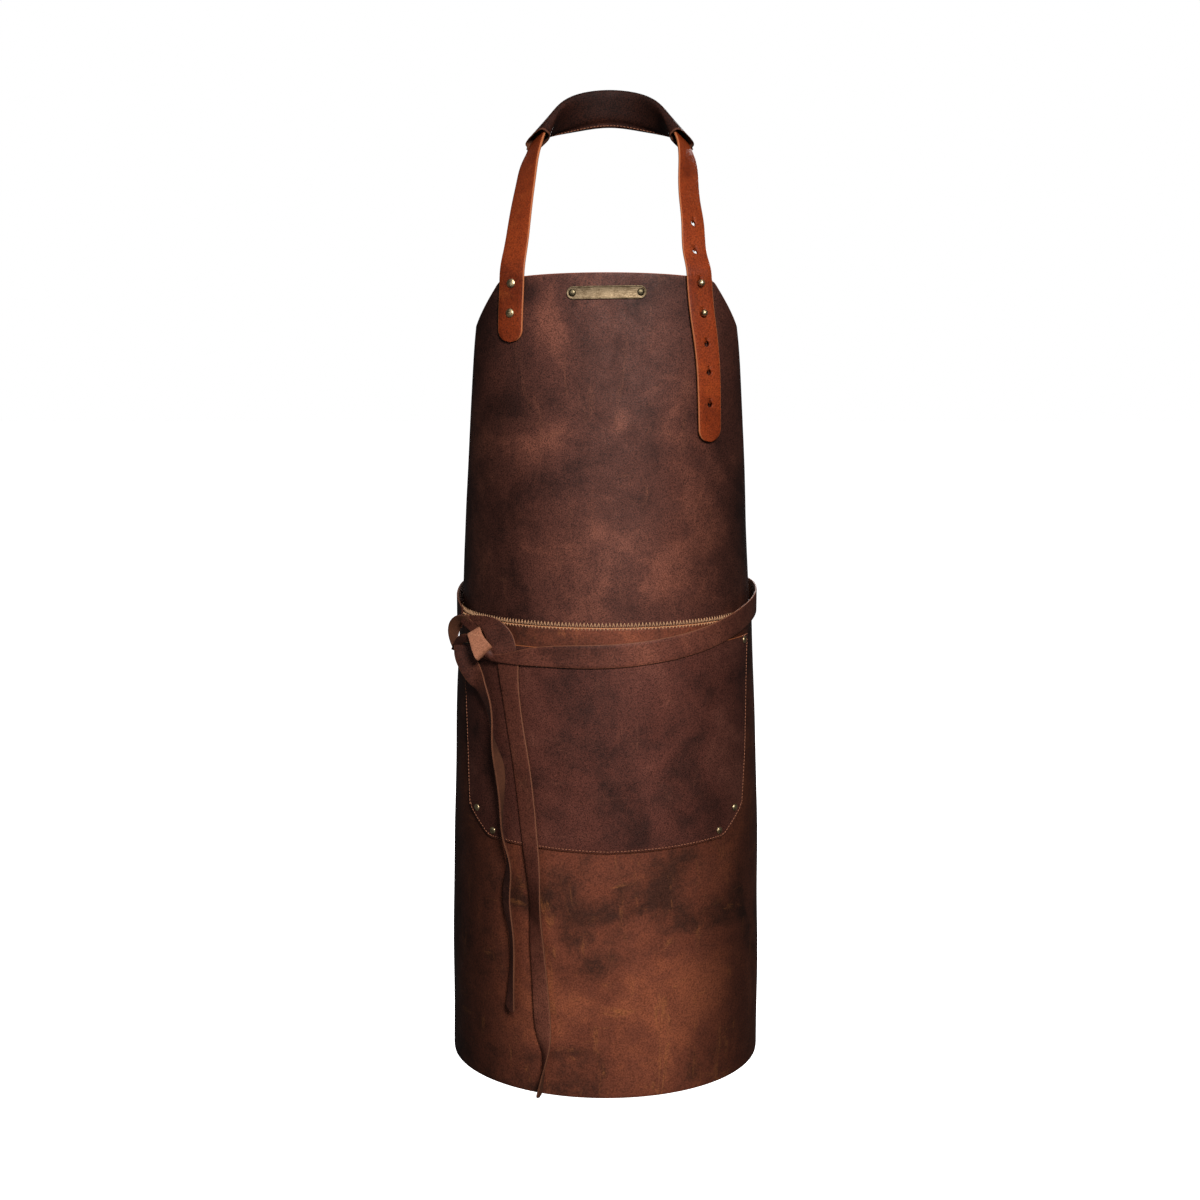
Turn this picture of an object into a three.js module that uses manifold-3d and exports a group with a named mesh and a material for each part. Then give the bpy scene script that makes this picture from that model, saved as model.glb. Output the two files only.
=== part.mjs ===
// A leather butcher apron in the shape it takes when it is worn: a bib lapped under a wrapped skirt, a wide
// front pocket, a neck strap that buttons over two studs and runs through a sliding pad, and two waist ties
// that cross behind the wearer and are knotted at the front. Millimetres, +Z up, the front faces -Y.
// Heights are measured from the waist seam and X, Y from the axis of the wearer's body; the outer group then
// moves the origin to the point where the pad rests on the neck.
import * as THREE from "three";
import { mergeVertices } from "three/addons/utils/BufferGeometryUtils.js";
import Module from "manifold-3d";

const wasm = await Module();
wasm.setup();

// The body that the leather is wrapped round: an ellipse at every height, with an upright front line.
const SKIRT_LENGTH = 519;
const BIB_LENGTH = 360;
const HEM_HALF_WIDTH = 174;
const TOP_NARROWING = 40;
const WAIST_HALF_DEPTH = 140;
const CHEST_FLATTENING = 78;

// Leather.
const PANEL_THICKNESS = 2;
const STRAP_THICKNESS = 2.8;
const TIE_THICKNESS = 2;
const STRAP_WIDTH = 28;
const TIE_WIDTH = 25;
const LEFT_TAIL_WIDTH = 18;
const RIGHT_TAIL_WIDTH = 22;
const LOOP_WIDTH = 17;
const GAP = 0.3;
const PANEL_GAP = 0.7;

// Panels. Arcs are distances round the body from the front centre line.
const PANEL_HALF_ARC = 300;
const HEM_CORNER_RADIUS = 90;
const SEAM_LAP = 12;
const SKIRT_OFFSET = PANEL_THICKNESS + PANEL_GAP;
const TOP_CORNER = { arc: 118, height: 347 };
const CHAMFER_END = { arc: 149, height: 309 };
const SIDE_HEIGHT = 34;

// Pocket.
const POCKET_TOP = -21;
const POCKET_BOTTOM = -242;
const POCKET_TOP_ARC = 183;
const POCKET_LOW_ARC = 164;
const POCKET_CHAMFER = { arc: 133, height: -237, rise: 27 };
const POCKET_BULGE = 5.2;
const POCKET_OFFSET = SKIRT_OFFSET + PANEL_THICKNESS + PANEL_GAP;

// Neck strap and pad. The strap follows a circle round the back of the neck.
const NECK_CENTRE = new THREE.Vector3(3.7, -55.6, 485.6);
const NECK_RADIUS = 79.6;
const NECK_SLOPE = THREE.MathUtils.degToRad(45.7);
const PAD_HALF_ANGLE = 74;
const STRAP_ARC_HALF_ANGLE = 82;
const NAPE_LEAN = 30.7;
const MOUTH_LEAN = -40;
const PAD_HALF_THICKNESS = 5.2;
const PAD_SEWN_EDGE = -21.5;
const PAD_FOLD_EDGE = 17.5;
const PAD_ROUNDING = 5;
const PAD_BORE_HALF_WIDTH = 16.2;
const PAD_BORE_HALF_THICKNESS = 3.9;
const PAD_BORE_ROUNDING = 2.4;

// Name plate.
const PLATE_HALF_LENGTH = 40;
const PLATE_HALF_HEIGHT = 6.6;
const PLATE_FLAT_HALF_LENGTH = 8;
const PLATE_HEIGHT = 340.3;
const PLATE_THICKNESS = 1.2;
const PLATE_TILT = 0.014;
const PLATE_RIVET_X = 34.2;

// Fasteners.
const PLATE_RIVET_HEAD = 3.8;
const STRAP_RIVET_HEAD = 4.75;
const POCKET_RIVET_HEAD = 4;
const TIE_RIVET_HEAD = 4;
const POST_RADIUS = 1.4;
const HOLE_RADIUS = POST_RADIUS + GAP;
const STUD_NECK_RADIUS = 2.3;
const STUD_BALL_RADIUS = 3.3;
const STUD_FLANGE = 1.5;
const STUD_FLANGE_RADIUS = 4;
const BUTTON_HOLE_RADIUS = STUD_NECK_RADIUS + GAP;
const CAP_THICKNESS = 1.2;
const SEAT_GAP = 0.6;
const DRILL_REACH = 12;
const STRAP_DRILL_REACH = 4;
const ROUND_SIDES = 10;

// Thread.
const THREAD_THICKNESS = 0.6;
const THREAD_WIDTH = 0.8;
const SEAM_BAND_HEIGHT = 4.5;
const SEAM_BAND_HALF_ARC = 292;
const STITCH_INSET = 2.4;

const HANDS = [
  ["left", -1],
  ["right", 1],
];

const leatherDark = material(0x3a231b, 0.55, 0);
const leatherBrown = material(0x5b382c, 0.55, 0);
const leatherTan = material(0xa8683f, 0.5, 0);
const thread = material(0xb08a5c, 0.8, 0);
const brass = material(0x8a7148, 0.45, 0.9);

function material(color, roughness, metalness) {
  return new THREE.MeshStandardMaterial({ color, roughness, metalness });
}

// ---- the wrapped surface ----

function section(height) {
  const rise = Math.max(0, height + SKIRT_LENGTH) / (BIB_LENGTH + SKIRT_LENGTH);
  const chest = THREE.MathUtils.smoothstep(height, 0, BIB_LENGTH);
  return {
    halfWidth: HEM_HALF_WIDTH - TOP_NARROWING * rise ** 2,
    halfDepth: WAIST_HALF_DEPTH - CHEST_FLATTENING * chest,
  };
}

function outward(angle, height) {
  const { halfWidth, halfDepth } = section(height);
  return new THREE.Vector3(Math.sin(angle) / halfWidth, -Math.cos(angle) / halfDepth, 0).normalize();
}

// The point at an angle round the body (0 in front, + to the right), a distance outside the surface.
function skin(angle, height, offset = 0) {
  const { halfWidth, halfDepth } = section(height);
  const x = halfWidth * Math.sin(angle);
  const y = halfDepth * (1 - Math.cos(angle)) - WAIST_HALF_DEPTH;
  return new THREE.Vector3(x, y, height).addScaledVector(outward(angle, height), offset);
}

// The angle that lies a distance round the body from the front centre line.
function angleAtArc(arc, height) {
  const { halfWidth, halfDepth } = section(height);
  const steps = 24;
  const step = arc / steps;
  const speed = (angle) => Math.hypot(halfWidth * Math.cos(angle), halfDepth * Math.sin(angle));
  let angle = 0;
  for (let i = 0; i < steps; i++) {
    angle += step / speed(angle + step / 2 / speed(angle));
  }
  return angle;
}

function angleAtX(x, height) {
  return Math.asin(x / section(height).halfWidth);
}

// ---- solids ----

// A closed solid through sections that are loops of equal length. The first half of a loop runs along one
// face and the second half runs back along the other, so the two ends close as ladders.
function loft(sections) {
  const count = sections[0].length;
  const last = sections.length - 1;
  const index = [];
  const at = (i, k) => i * count + (k % count);
  const quad = (a, b, c, d) => index.push(a, b, c, a, c, d);
  for (let i = 0; i < last; i++) {
    for (let k = 0; k < count; k++) {
      quad(at(i, k), at(i, k + 1), at(i + 1, k + 1), at(i + 1, k));
    }
  }
  for (let k = 0; k < count / 2 - 1; k++) {
    const back = count - 1 - k;
    quad(at(0, k + 1), at(0, k), at(0, back), at(0, back - 1));
    quad(at(last, k), at(last, k + 1), at(last, back - 1), at(last, back));
  }
  const geometry = new THREE.BufferGeometry().setFromPoints(sections.flat());
  return geometry.setIndex(index);
}

function toSolid(geometry) {
  const bare = geometry.clone();
  bare.deleteAttribute("normal");
  bare.deleteAttribute("uv");
  const merged = mergeVertices(bare, 1e-3);
  return new wasm.Manifold(
    new wasm.Mesh({
      numProp: 3,
      vertProperties: merged.attributes.position.array,
      triVerts: new Uint32Array(merged.index.array),
    }),
  );
}

function toGeometry(solid) {
  const mesh = solid.getMesh();
  return new THREE.BufferGeometry()
    .setAttribute("position", new THREE.BufferAttribute(mesh.vertProperties, 3))
    .setIndex(new THREE.BufferAttribute(mesh.triVerts, 1));
}

function cut(geometry, cutters) {
  let solid = toSolid(geometry);
  for (const cutter of cutters) {
    solid = solid.subtract(toSolid(cutter));
  }
  return toGeometry(solid);
}

// A round cutter along a spot's axis.
function drill(spot, radius, reach = DRILL_REACH) {
  const geometry = new THREE.CylinderGeometry(radius, radius, 2 * reach, ROUND_SIDES);
  return geometry.applyMatrix4(spotMatrix(spot, 0));
}

// A spot is a point and the direction out of the leather there. The matrix puts local +Y along it.
function spotMatrix(spot, offset) {
  const turn = new THREE.Quaternion().setFromUnitVectors(new THREE.Vector3(0, 1, 0), spot.out);
  const place = spot.at.clone().addScaledVector(spot.out, offset);
  return new THREE.Matrix4().compose(place, turn, new THREE.Vector3(1, 1, 1));
}

function spotOnBody(angle, height) {
  return { at: skin(angle, height), out: outward(angle, height) };
}

// A panel is a list of columns { arc, top, bottom } across the body, each from its top edge to its bottom
// edge. lift(arc, height) is how far the panel's middle stands off the body.
function panel(columns, rows, lift, thickness = PANEL_THICKNESS) {
  const sections = columns.map(({ arc, top, bottom }) => {
    const face = (side) =>
      Array.from({ length: rows + 1 }, (_, j) => {
        const height = THREE.MathUtils.lerp(top, bottom, j / rows);
        const offset = lift(arc, height) + (side * thickness) / 2;
        return skin(angleAtArc(arc, height), height, offset);
      });
    return [...face(1), ...face(-1).reverse()];
  });
  return loft(sections);
}

// Columns made for the right half are repeated, mirrored, for the left half.
function bothHalves(columns) {
  const mirrored = columns.filter(({ arc }) => arc > 0).map((c) => ({ ...c, arc: -c.arc }));
  return [...mirrored.reverse(), ...columns];
}

function steps(from, to, count) {
  return Array.from({ length: count + 1 }, (_, i) => THREE.MathUtils.lerp(from, to, i / count));
}

// Each station of a strap is { at, across }; its smooth face looks along across x direction of travel.
function strapFrames(stations) {
  return stations.map(({ at, across }, i) => {
    const before = stations[Math.max(0, i - 1)].at;
    const after = stations[Math.min(stations.length - 1, i + 1)].at;
    const along = after.clone().sub(before).normalize();
    const width = across.clone().addScaledVector(along, -across.dot(along)).normalize();
    return { at, along, width, out: width.clone().cross(along) };
  });
}

// A loop of [across, out] pairs, in mm, carried along a strap.
function sweep(frames, outline) {
  return loft(
    frames.map(({ at, width, out }) =>
      outline.map(([w, n]) => at.clone().addScaledVector(width, w).addScaledVector(out, n)),
    ),
  );
}

function rectangle(width, thickness) {
  const w = width / 2;
  const n = thickness / 2;
  return [
    [-w, n],
    [w, n],
    [w, -n],
    [-w, -n],
  ];
}

// A strap that lies on the body, through points [angle in degrees, height, offset].
function bodyStrap(points, width, thickness) {
  const route = points.map(([degrees, height, offset]) => {
    const angle = THREE.MathUtils.degToRad(degrees);
    return { at: skin(angle, height, offset), out: outward(angle, height) };
  });
  const stations = route.map(({ at, out }, i) => {
    const before = route[Math.max(0, i - 1)].at;
    const after = route[Math.min(route.length - 1, i + 1)].at;
    return { at, across: after.clone().sub(before).cross(out) };
  });
  return sweep(strapFrames(stations), rectangle(width, thickness));
}

// ---- assembly ----

const apron = new THREE.Group();

function add(name, geometry, finish) {
  const mesh = new THREE.Mesh(geometry, finish);
  mesh.name = name;
  apron.add(mesh);
}

function turned(profile) {
  return new THREE.LatheGeometry(
    profile.map(([r, y]) => new THREE.Vector2(r, y)),
    ROUND_SIDES,
  );
}

// A domed rivet whose head sits on the outer face and whose post goes through to the cap behind.
function addRivet(name, spot, inner, outer, headRadius) {
  const height = 0.42 * headRadius;
  const post = inner - outer - SEAT_GAP;
  const head = turned([
    [0, post],
    [POST_RADIUS, post],
    [POST_RADIUS, 0],
    [headRadius, 0],
    [0.8 * headRadius, 0.6 * height],
    [0.42 * headRadius, 0.92 * height],
    [0, height],
  ]);
  add(name, head.applyMatrix4(spotMatrix(spot, outer + SEAT_GAP)), brass);
  const cap = turned([
    [0, -CAP_THICKNESS],
    [0.85 * headRadius, -0.6 * CAP_THICKNESS],
    [0.9 * headRadius, 0],
    [0, 0],
  ]);
  add(name + "_back_cap", cap.applyMatrix4(spotMatrix(spot, inner - SEAT_GAP)), brass);
}

// A button stud: a flange on the bib, a neck through the strap and a ball over it, held by a screw.
function addStud(name, spot, bibInner, flangeInner, strapOuter) {
  const bore = strapOuter - flangeInner;
  const ball = steps(-45, 90, 5).map((degrees) => {
    const a = THREE.MathUtils.degToRad(degrees);
    return [STUD_BALL_RADIUS * Math.cos(a), bore + STUD_BALL_RADIUS * (Math.sin(a) + 0.8) + GAP];
  });
  ball[ball.length - 1][0] = 0;
  const stud = turned([
    [0, bore],
    [HOLE_RADIUS, bore],
    [HOLE_RADIUS, 0],
    [STUD_FLANGE_RADIUS, 0],
    [STUD_FLANGE_RADIUS, STUD_FLANGE],
    [STUD_NECK_RADIUS, STUD_FLANGE],
    ...ball,
  ]);
  add(name, stud.applyMatrix4(spotMatrix(spot, flangeInner)), brass);
  const reach = strapOuter - bibInner;
  const screw = turned([
    [0, -CAP_THICKNESS],
    [STUD_FLANGE_RADIUS, -CAP_THICKNESS],
    [STUD_FLANGE_RADIUS, 0],
    [POST_RADIUS, 0],
    [POST_RADIUS, reach],
    [0, reach],
  ]);
  add(name + "_screw", screw.applyMatrix4(spotMatrix(spot, bibInner - GAP)), brass);
}

// ---- bib and skirt ----

// The right half of the bib's top edge, in the flat: arched top, rounded corner, chamfer and armhole.
function bibTopEdge() {
  const edge = new THREE.Path();
  edge.moveTo(0, BIB_LENGTH);
  edge.quadraticCurveTo(65, BIB_LENGTH, 106, BIB_LENGTH - 5);
  edge.quadraticCurveTo(113, BIB_LENGTH - 6, TOP_CORNER.arc, TOP_CORNER.height);
  edge.lineTo(CHAMFER_END.arc, CHAMFER_END.height);
  edge.bezierCurveTo(170, 240, 185, 60, PANEL_HALF_ARC, SIDE_HEIGHT);
  return edge.getPoints(7);
}

function bibGeometry() {
  const columns = bibTopEdge().map(({ x, y }) => ({ arc: x, top: y, bottom: -SEAM_LAP }));
  return panel(bothHalves(columns), 12, () => 0);
}

function hemHeight(arc) {
  const inCorner = Math.max(0, Math.abs(arc) - (PANEL_HALF_ARC - HEM_CORNER_RADIUS));
  const drop = Math.sqrt(HEM_CORNER_RADIUS ** 2 - inCorner ** 2);
  return -SKIRT_LENGTH + HEM_CORNER_RADIUS - drop;
}

function skirtGeometry() {
  const straight = steps(0, PANEL_HALF_ARC - HEM_CORNER_RADIUS, 14);
  const corner = steps(0, 90, 7)
    .slice(1)
    .map((degrees) => {
      const across = HEM_CORNER_RADIUS * Math.sin(THREE.MathUtils.degToRad(degrees));
      return PANEL_HALF_ARC - HEM_CORNER_RADIUS + across;
    });
  const columns = [...straight, ...corner].map((arc) => ({ arc, top: 0, bottom: hemHeight(arc) }));
  return panel(bothHalves(columns), 9, () => SKIRT_OFFSET);
}

// ---- pocket ----

function pocketSideArc(height) {
  return THREE.MathUtils.mapLinear(height, POCKET_TOP, POCKET_BOTTOM, POCKET_TOP_ARC, POCKET_LOW_ARC);
}

// The lower edge: almost level in the middle, with a chamfered corner, then the side edge.
function pocketLowEdge(arc) {
  const { arc: start, height, rise } = POCKET_CHAMFER;
  const side = Math.abs(arc);
  if (side < start) {
    return THREE.MathUtils.mapLinear(side, 0, start, POCKET_BOTTOM, height);
  }
  if (side <= POCKET_LOW_ARC) {
    return THREE.MathUtils.mapLinear(side, start, POCKET_LOW_ARC, height, height + rise);
  }
  return THREE.MathUtils.mapLinear(side, POCKET_LOW_ARC, POCKET_TOP_ARC, height + rise, POCKET_TOP - 1);
}

// The pocket is sewn down at its sides and bottom and stands open a little in between.
function pocketLift(arc, height) {
  const across = 1 - (arc / pocketSideArc(height)) ** 2;
  const down = THREE.MathUtils.clamp((height - POCKET_BOTTOM) / (POCKET_TOP - POCKET_BOTTOM), 0, 1);
  return POCKET_OFFSET + POCKET_BULGE * Math.max(0, across) * Math.sqrt(down);
}

function pocketGeometry() {
  const half = [
    ...steps(0, POCKET_CHAMFER.arc, 9),
    ...steps(POCKET_CHAMFER.arc, POCKET_LOW_ARC, 3).slice(1),
    ...steps(POCKET_LOW_ARC, POCKET_TOP_ARC, 3).slice(1),
  ];
  const columns = half.map((arc) => ({ arc, top: POCKET_TOP, bottom: pocketLowEdge(arc) }));
  return panel(bothHalves(columns), 8, pocketLift);
}

const skirtInner = SKIRT_OFFSET - PANEL_THICKNESS / 2;

function pocketSpots() {
  const right = { top: [172, -26], side: [151, -208], bottom: [127, -228.6] };
  return Object.entries(right).flatMap(([place, [arc, height]]) =>
    HANDS.map(([hand, side]) => {
      const spot = spotOnBody(angleAtArc(side * arc, height), height);
      return [`pocket_rivet_${place}_${hand}`, spot, pocketLift(arc, height) + PANEL_THICKNESS / 2];
    }),
  );
}

// ---- neck strap and pad ----

const neckAcross = new THREE.Vector3(1, 0, 0);
const neckBack = new THREE.Vector3(0, Math.cos(NECK_SLOPE), Math.sin(NECK_SLOPE));
const neckAxis = neckAcross.clone().cross(neckBack);

// The strap round the neck at an angle from the nape, in degrees. It leans back at the nape and twists to
// face forwards at the ends of the pad.
function neckStation(degrees) {
  const angle = THREE.MathUtils.degToRad(degrees);
  const radial = neckAcross
    .clone()
    .multiplyScalar(Math.sin(angle))
    .addScaledVector(neckBack, Math.cos(angle));
  const turn = THREE.MathUtils.smootherstep(Math.abs(degrees), 0, PAD_HALF_ANGLE + 10);
  const lean = THREE.MathUtils.degToRad(THREE.MathUtils.lerp(NAPE_LEAN, MOUTH_LEAN, turn));
  return {
    at: NECK_CENTRE.clone().addScaledVector(radial, NECK_RADIUS),
    across: neckAxis.clone().multiplyScalar(Math.cos(lean)).addScaledVector(radial, Math.sin(lean)),
  };
}

// A station of the strap where it lies on the bib. side is -1 on the left and 1 on the right.
function bibStation(x, height, offset, side) {
  const angle = angleAtX(x, height);
  const out = outward(angle, height);
  const across = new THREE.Vector3(-out.y, out.x, 0).multiplyScalar(-side);
  return { at: skin(angle, height, offset), across };
}

const bibInner = -PANEL_THICKNESS / 2;
const bibOuter = PANEL_THICKNESS / 2;
const STRAP_BOW = 0.6;
const leftStrapOffset = bibOuter + GAP + STRAP_BOW + STRAP_THICKNESS / 2;
const rightStrapOffset = leftStrapOffset + STUD_FLANGE + GAP;

const LEFT_ON_BIB = [
  [-96.8, 291.5],
  [-96, 320.5],
  [-94.5, 350],
  [-93.8, 362],
];
const LEFT_FREE = [
  [-91.6, -119, 386],
  [-88.6, -108, 410],
  [-85.7, -93, 435],
  [-82.6, -75, 459],
  [-79.2, -58.5, 480],
];
const RIGHT_FREE = [
  [84.6, -58.5, 480],
  [84.6, -75, 459],
  [85.2, -93, 435],
  [87.5, -108, 410],
  [89.2, -118, 381],
];
const RIGHT_ON_BIB = [
  [90.7, 362],
  [91.7, 350],
  [94.8, 320.5],
  [99, 290.5],
  [101.7, 260.5],
  [103, 228],
  [103.6, 205],
  [104, 190.5],
];

function freeStations(points, from, to) {
  return points.map(([x, y, z], i) => ({
    at: new THREE.Vector3(x, y, z),
    across: from.clone().lerp(to, (i + 1) / (points.length + 1)),
  }));
}

function neckStrapFrames() {
  const left = LEFT_ON_BIB.map(([x, height]) => bibStation(x, height, leftStrapOffset, -1));
  const right = RIGHT_ON_BIB.map(([x, height]) => bibStation(x, height, rightStrapOffset, 1));
  const neck = steps(-STRAP_ARC_HALF_ANGLE, STRAP_ARC_HALF_ANGLE, 18).map(neckStation);
  return strapFrames([
    ...left,
    ...freeStations(LEFT_FREE, left.at(-1).across, neck[0].across),
    ...neck,
    ...freeStations(RIGHT_FREE, neck.at(-1).across, right[0].across),
    ...right,
  ]);
}

// Heights of the punched holes: two over the bib, two buttoned over the studs, three free below them.
const PUNCHED_HEIGHTS = [410, 381, 350, 320.5, 290.5, 260.5, 228];

function neckStrapGeometry(frames) {
  const onRight = frames.filter(({ at, along }) => at.x > 0 && along.z < 0);
  const punched = PUNCHED_HEIGHTS.map((height) => onRight.find(({ at }) => Math.abs(at.z - height) < 0.1));
  const riveted = frames.slice(1, 3);
  return cut(sweep(frames, rectangle(STRAP_WIDTH, STRAP_THICKNESS)), [
    ...punched.map((spot) => drill(spot, BUTTON_HOLE_RADIUS, STRAP_DRILL_REACH)),
    ...riveted.map((spot) => drill(spot, HOLE_RADIUS, STRAP_DRILL_REACH)),
  ]);
}

// The outline of the pad, or of the passage through it: nearly flat faces, thin at both edges.
function padOutline(sewnEdge, foldEdge, halfThickness, roundness) {
  const half = [
    [sewnEdge, 0.35],
    [sewnEdge + roundness, 0.95],
    [0, 1],
    [foldEdge - roundness, 0.95],
    [foldEdge, 0.4],
  ];
  const face = half.map(([w, share]) => [w, share * halfThickness]);
  return [...face, ...face.map(([w, n]) => [w, -n]).reverse()];
}

function padGeometry() {
  const outer = strapFrames(steps(-PAD_HALF_ANGLE, PAD_HALF_ANGLE, 14).map(neckStation));
  const inner = strapFrames(steps(-PAD_HALF_ANGLE - 4, PAD_HALF_ANGLE + 4, 14).map(neckStation));
  const sleeve = padOutline(PAD_SEWN_EDGE, PAD_FOLD_EDGE, PAD_HALF_THICKNESS, PAD_ROUNDING);
  const bore = padOutline(
    -PAD_BORE_HALF_WIDTH,
    PAD_BORE_HALF_WIDTH,
    PAD_BORE_HALF_THICKNESS,
    PAD_BORE_ROUNDING,
  );
  return cut(sweep(outer, sleeve), [sweep(inner, bore)]);
}

// ---- name plate ----

function plateGeometry() {
  const straight = PLATE_HALF_LENGTH - PLATE_HALF_HEIGHT;
  const round = [30, 60, 80].map((degrees) => {
    const a = THREE.MathUtils.degToRad(degrees);
    return [straight + PLATE_HALF_HEIGHT * Math.sin(a), PLATE_HALF_HEIGHT * Math.cos(a)];
  });
  const flats = [PLATE_FLAT_HALF_LENGTH, straight / 2 + PLATE_FLAT_HALF_LENGTH / 2, straight];
  const half = [...flats.map((arc) => [arc, PLATE_HALF_HEIGHT]), ...round];
  const columns = [...half.map(([arc, h]) => [-arc, h]).reverse(), ...half].map(([arc, h]) => ({
    arc,
    top: PLATE_HEIGHT + PLATE_TILT * arc + h,
    bottom: PLATE_HEIGHT + PLATE_TILT * arc - h,
  }));
  return panel(columns, 1, () => bibOuter + GAP + PLATE_THICKNESS / 2, PLATE_THICKNESS);
}

function plateSpots() {
  return HANDS.map(([hand, side]) => {
    const arc = side * PLATE_RIVET_X;
    const height = PLATE_HEIGHT + PLATE_TILT * arc;
    return [`plate_rivet_${hand}`, spotOnBody(angleAtArc(arc, height), height)];
  });
}

// ---- waist ties ----

// Where each tie is riveted to the skirt's rear edge.
const ANCHOR_HEIGHT = -13;
const ANCHOR_OFFSET = 6.2;
const ANCHOR_RIVETS = { front: 106.6, back: 110.4 };

// [angle in degrees round the body, height, offset from the body]
const LEFT_TIE = [
  [-104.5, -13, 6.2],
  [-111, -13, 6.2],
  [-117, -12.5, 6.2],
  [-124, -12.5, 5.6],
  [-136, -12, 4],
  [-152, -9.5, 4],
  [-168, -2.5, 4],
  [-184, 5.5, 4],
  [-200, 11.5, 4],
  [-216, 15, 6],
  [-232, 15, 9.5],
  [-245, 15.5, 11],
  [-257, 15, 10.5],
  [-270, 12, 9],
  [-282, 8, 9],
  [-294, 2.5, 9.5],
  [-305, -3.5, 10.5],
  [-316, -10.5, 11.5],
  [-325, -16, 12.2],
  [-333, -20, 12.9],
  [-346, -25, 13.5],
  [-360, -28, 13.7],
  [-374, -29, 13.7],
  [-384, -30.5, 13.8],
  [-392, -33.5, 14.3],
  [-399, -36, 15],
];
const RIGHT_TIE = [
  [104.5, -13, 6.2],
  [111, -13, 6.2],
  [117, -12.5, 6.2],
  [124, -13, 6.8],
  [136, -13, 8],
  [152, -10.5, 8],
  [168, -3, 8],
  [184, 5, 8],
  [200, 11, 8],
  [216, 14, 8.5],
  [232, 15, 8.5],
  [245, 15.5, 6.5],
  [257, 13.5, 6.3],
  [268, 8, 6.4],
  [280, 2, 6.8],
  [290, -4, 7.6],
];
const LEFT_TAIL = [
  [-53.5, -54, 16],
  [-51, -60, 15.5],
  [-47, -70.5, 15],
  [-44, -84, 15],
  [-42.4, -97, 15],
  [-42, -121, 14],
  [-39.4, -155, 12],
  [-37.8, -190, 11],
  [-37, -231, 11],
  [-35.8, -257, 10.5],
  [-35.4, -295, 10],
  [-34.4, -336, 9],
  [-34, -378, 9],
  [-34.2, -425, 9],
];
const RIGHT_TAIL = [
  [-36.6, -52, 11.2],
  [-35.2, -75, 11.2],
  [-33.3, -107, 11.2],
  [-30.9, -141, 11.2],
  [-28.7, -182, 11.2],
  [-26.8, -227, 11.2],
  [-25.2, -263, 10.5],
  [-24.4, -300, 10],
  [-23.8, -345, 9],
  [-22.8, -390, 9],
  [-21.8, -435, 9],
  [-21.2, -475, 9],
  [-23.4, -519, 9.5],
];
// The loop of the knot that arches over to the right and drops behind the tie.
const RIGHT_LOOP = [
  [-60, 1, 17],
  [-53, 3, 17],
  [-46.5, 1.5, 16],
  [-42, -6, 14],
  [-39.6, -17, 12],
  [-38.2, -29, 11.2],
  [-37.2, -46, 11.2],
];
// The loop that curls round to the left and drops to the left tail.
const LEFT_LOOP = [
  [-58, 0, 20],
  [-62.5, -5, 21],
  [-66, -14, 21],
  [-66.5, -25, 20],
  [-64, -35, 18],
  [-60.5, -42, 16],
];
const KNOT_SPOT = { degrees: -50, height: -24, offset: 17.5 };
const KNOT_HALF_SIZE = [10, 6, 13];

function anchorSpots() {
  return HANDS.flatMap(([hand, side]) =>
    Object.entries(ANCHOR_RIVETS).map(([place, degrees]) => {
      const angle = THREE.MathUtils.degToRad(side * degrees);
      return [`tie_rivet_${place}_${hand}`, spotOnBody(angle, ANCHOR_HEIGHT)];
    }),
  );
}

function knotGeometry() {
  const angle = THREE.MathUtils.degToRad(KNOT_SPOT.degrees);
  const out = outward(angle, KNOT_SPOT.height);
  const ball = new THREE.SphereGeometry(1, 16, 12).scale(...KNOT_HALF_SIZE);
  const turn = new THREE.Matrix4().makeRotationZ(Math.atan2(out.x, -out.y));
  const place = skin(angle, KNOT_SPOT.height, KNOT_SPOT.offset);
  return ball.applyMatrix4(turn).translate(...place.toArray());
}

// ---- threads ----

function seamThreadGeometry() {
  const columns = steps(0, SEAM_BAND_HALF_ARC, 22).map((arc) => ({
    arc,
    top: GAP + SEAM_BAND_HEIGHT,
    bottom: GAP,
  }));
  return panel(bothHalves(columns), 1, () => bibOuter + GAP + THREAD_THICKNESS / 2, THREAD_THICKNESS);
}

function pocketThreadGeometry() {
  const right = [
    ...steps(POCKET_TOP - 3, POCKET_CHAMFER.height + POCKET_CHAMFER.rise, 8).map((height) => [
      pocketSideArc(height) - STITCH_INSET,
      height,
    ]),
    ...steps(POCKET_LOW_ARC - 4 * STITCH_INSET, 0, 9).map((arc) => [arc, pocketLowEdge(arc) + STITCH_INSET]),
  ];
  const left = right.slice(0, -1).map(([arc, height]) => [-arc, height]);
  const points = [...right, ...left.reverse()].map(([arc, height]) => {
    const degrees = THREE.MathUtils.radToDeg(angleAtArc(arc, height));
    return [degrees, height, pocketLift(arc, height) + PANEL_THICKNESS / 2 + THREAD_WIDTH];
  });
  return bodyStrap(points, THREAD_WIDTH, THREAD_THICKNESS);
}

function padThreadGeometry() {
  const frames = strapFrames(steps(-PAD_HALF_ANGLE + 2, PAD_HALF_ANGLE - 2, 14).map(neckStation));
  const lower = PAD_SEWN_EDGE + STITCH_INSET;
  const upper = lower + THREAD_WIDTH;
  const near = -PAD_HALF_THICKNESS - GAP;
  const far = near - THREAD_THICKNESS;
  return sweep(frames, [
    [lower, near],
    [upper, near],
    [upper, far],
    [lower, far],
  ]);
}

// ---- put together ----

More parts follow.
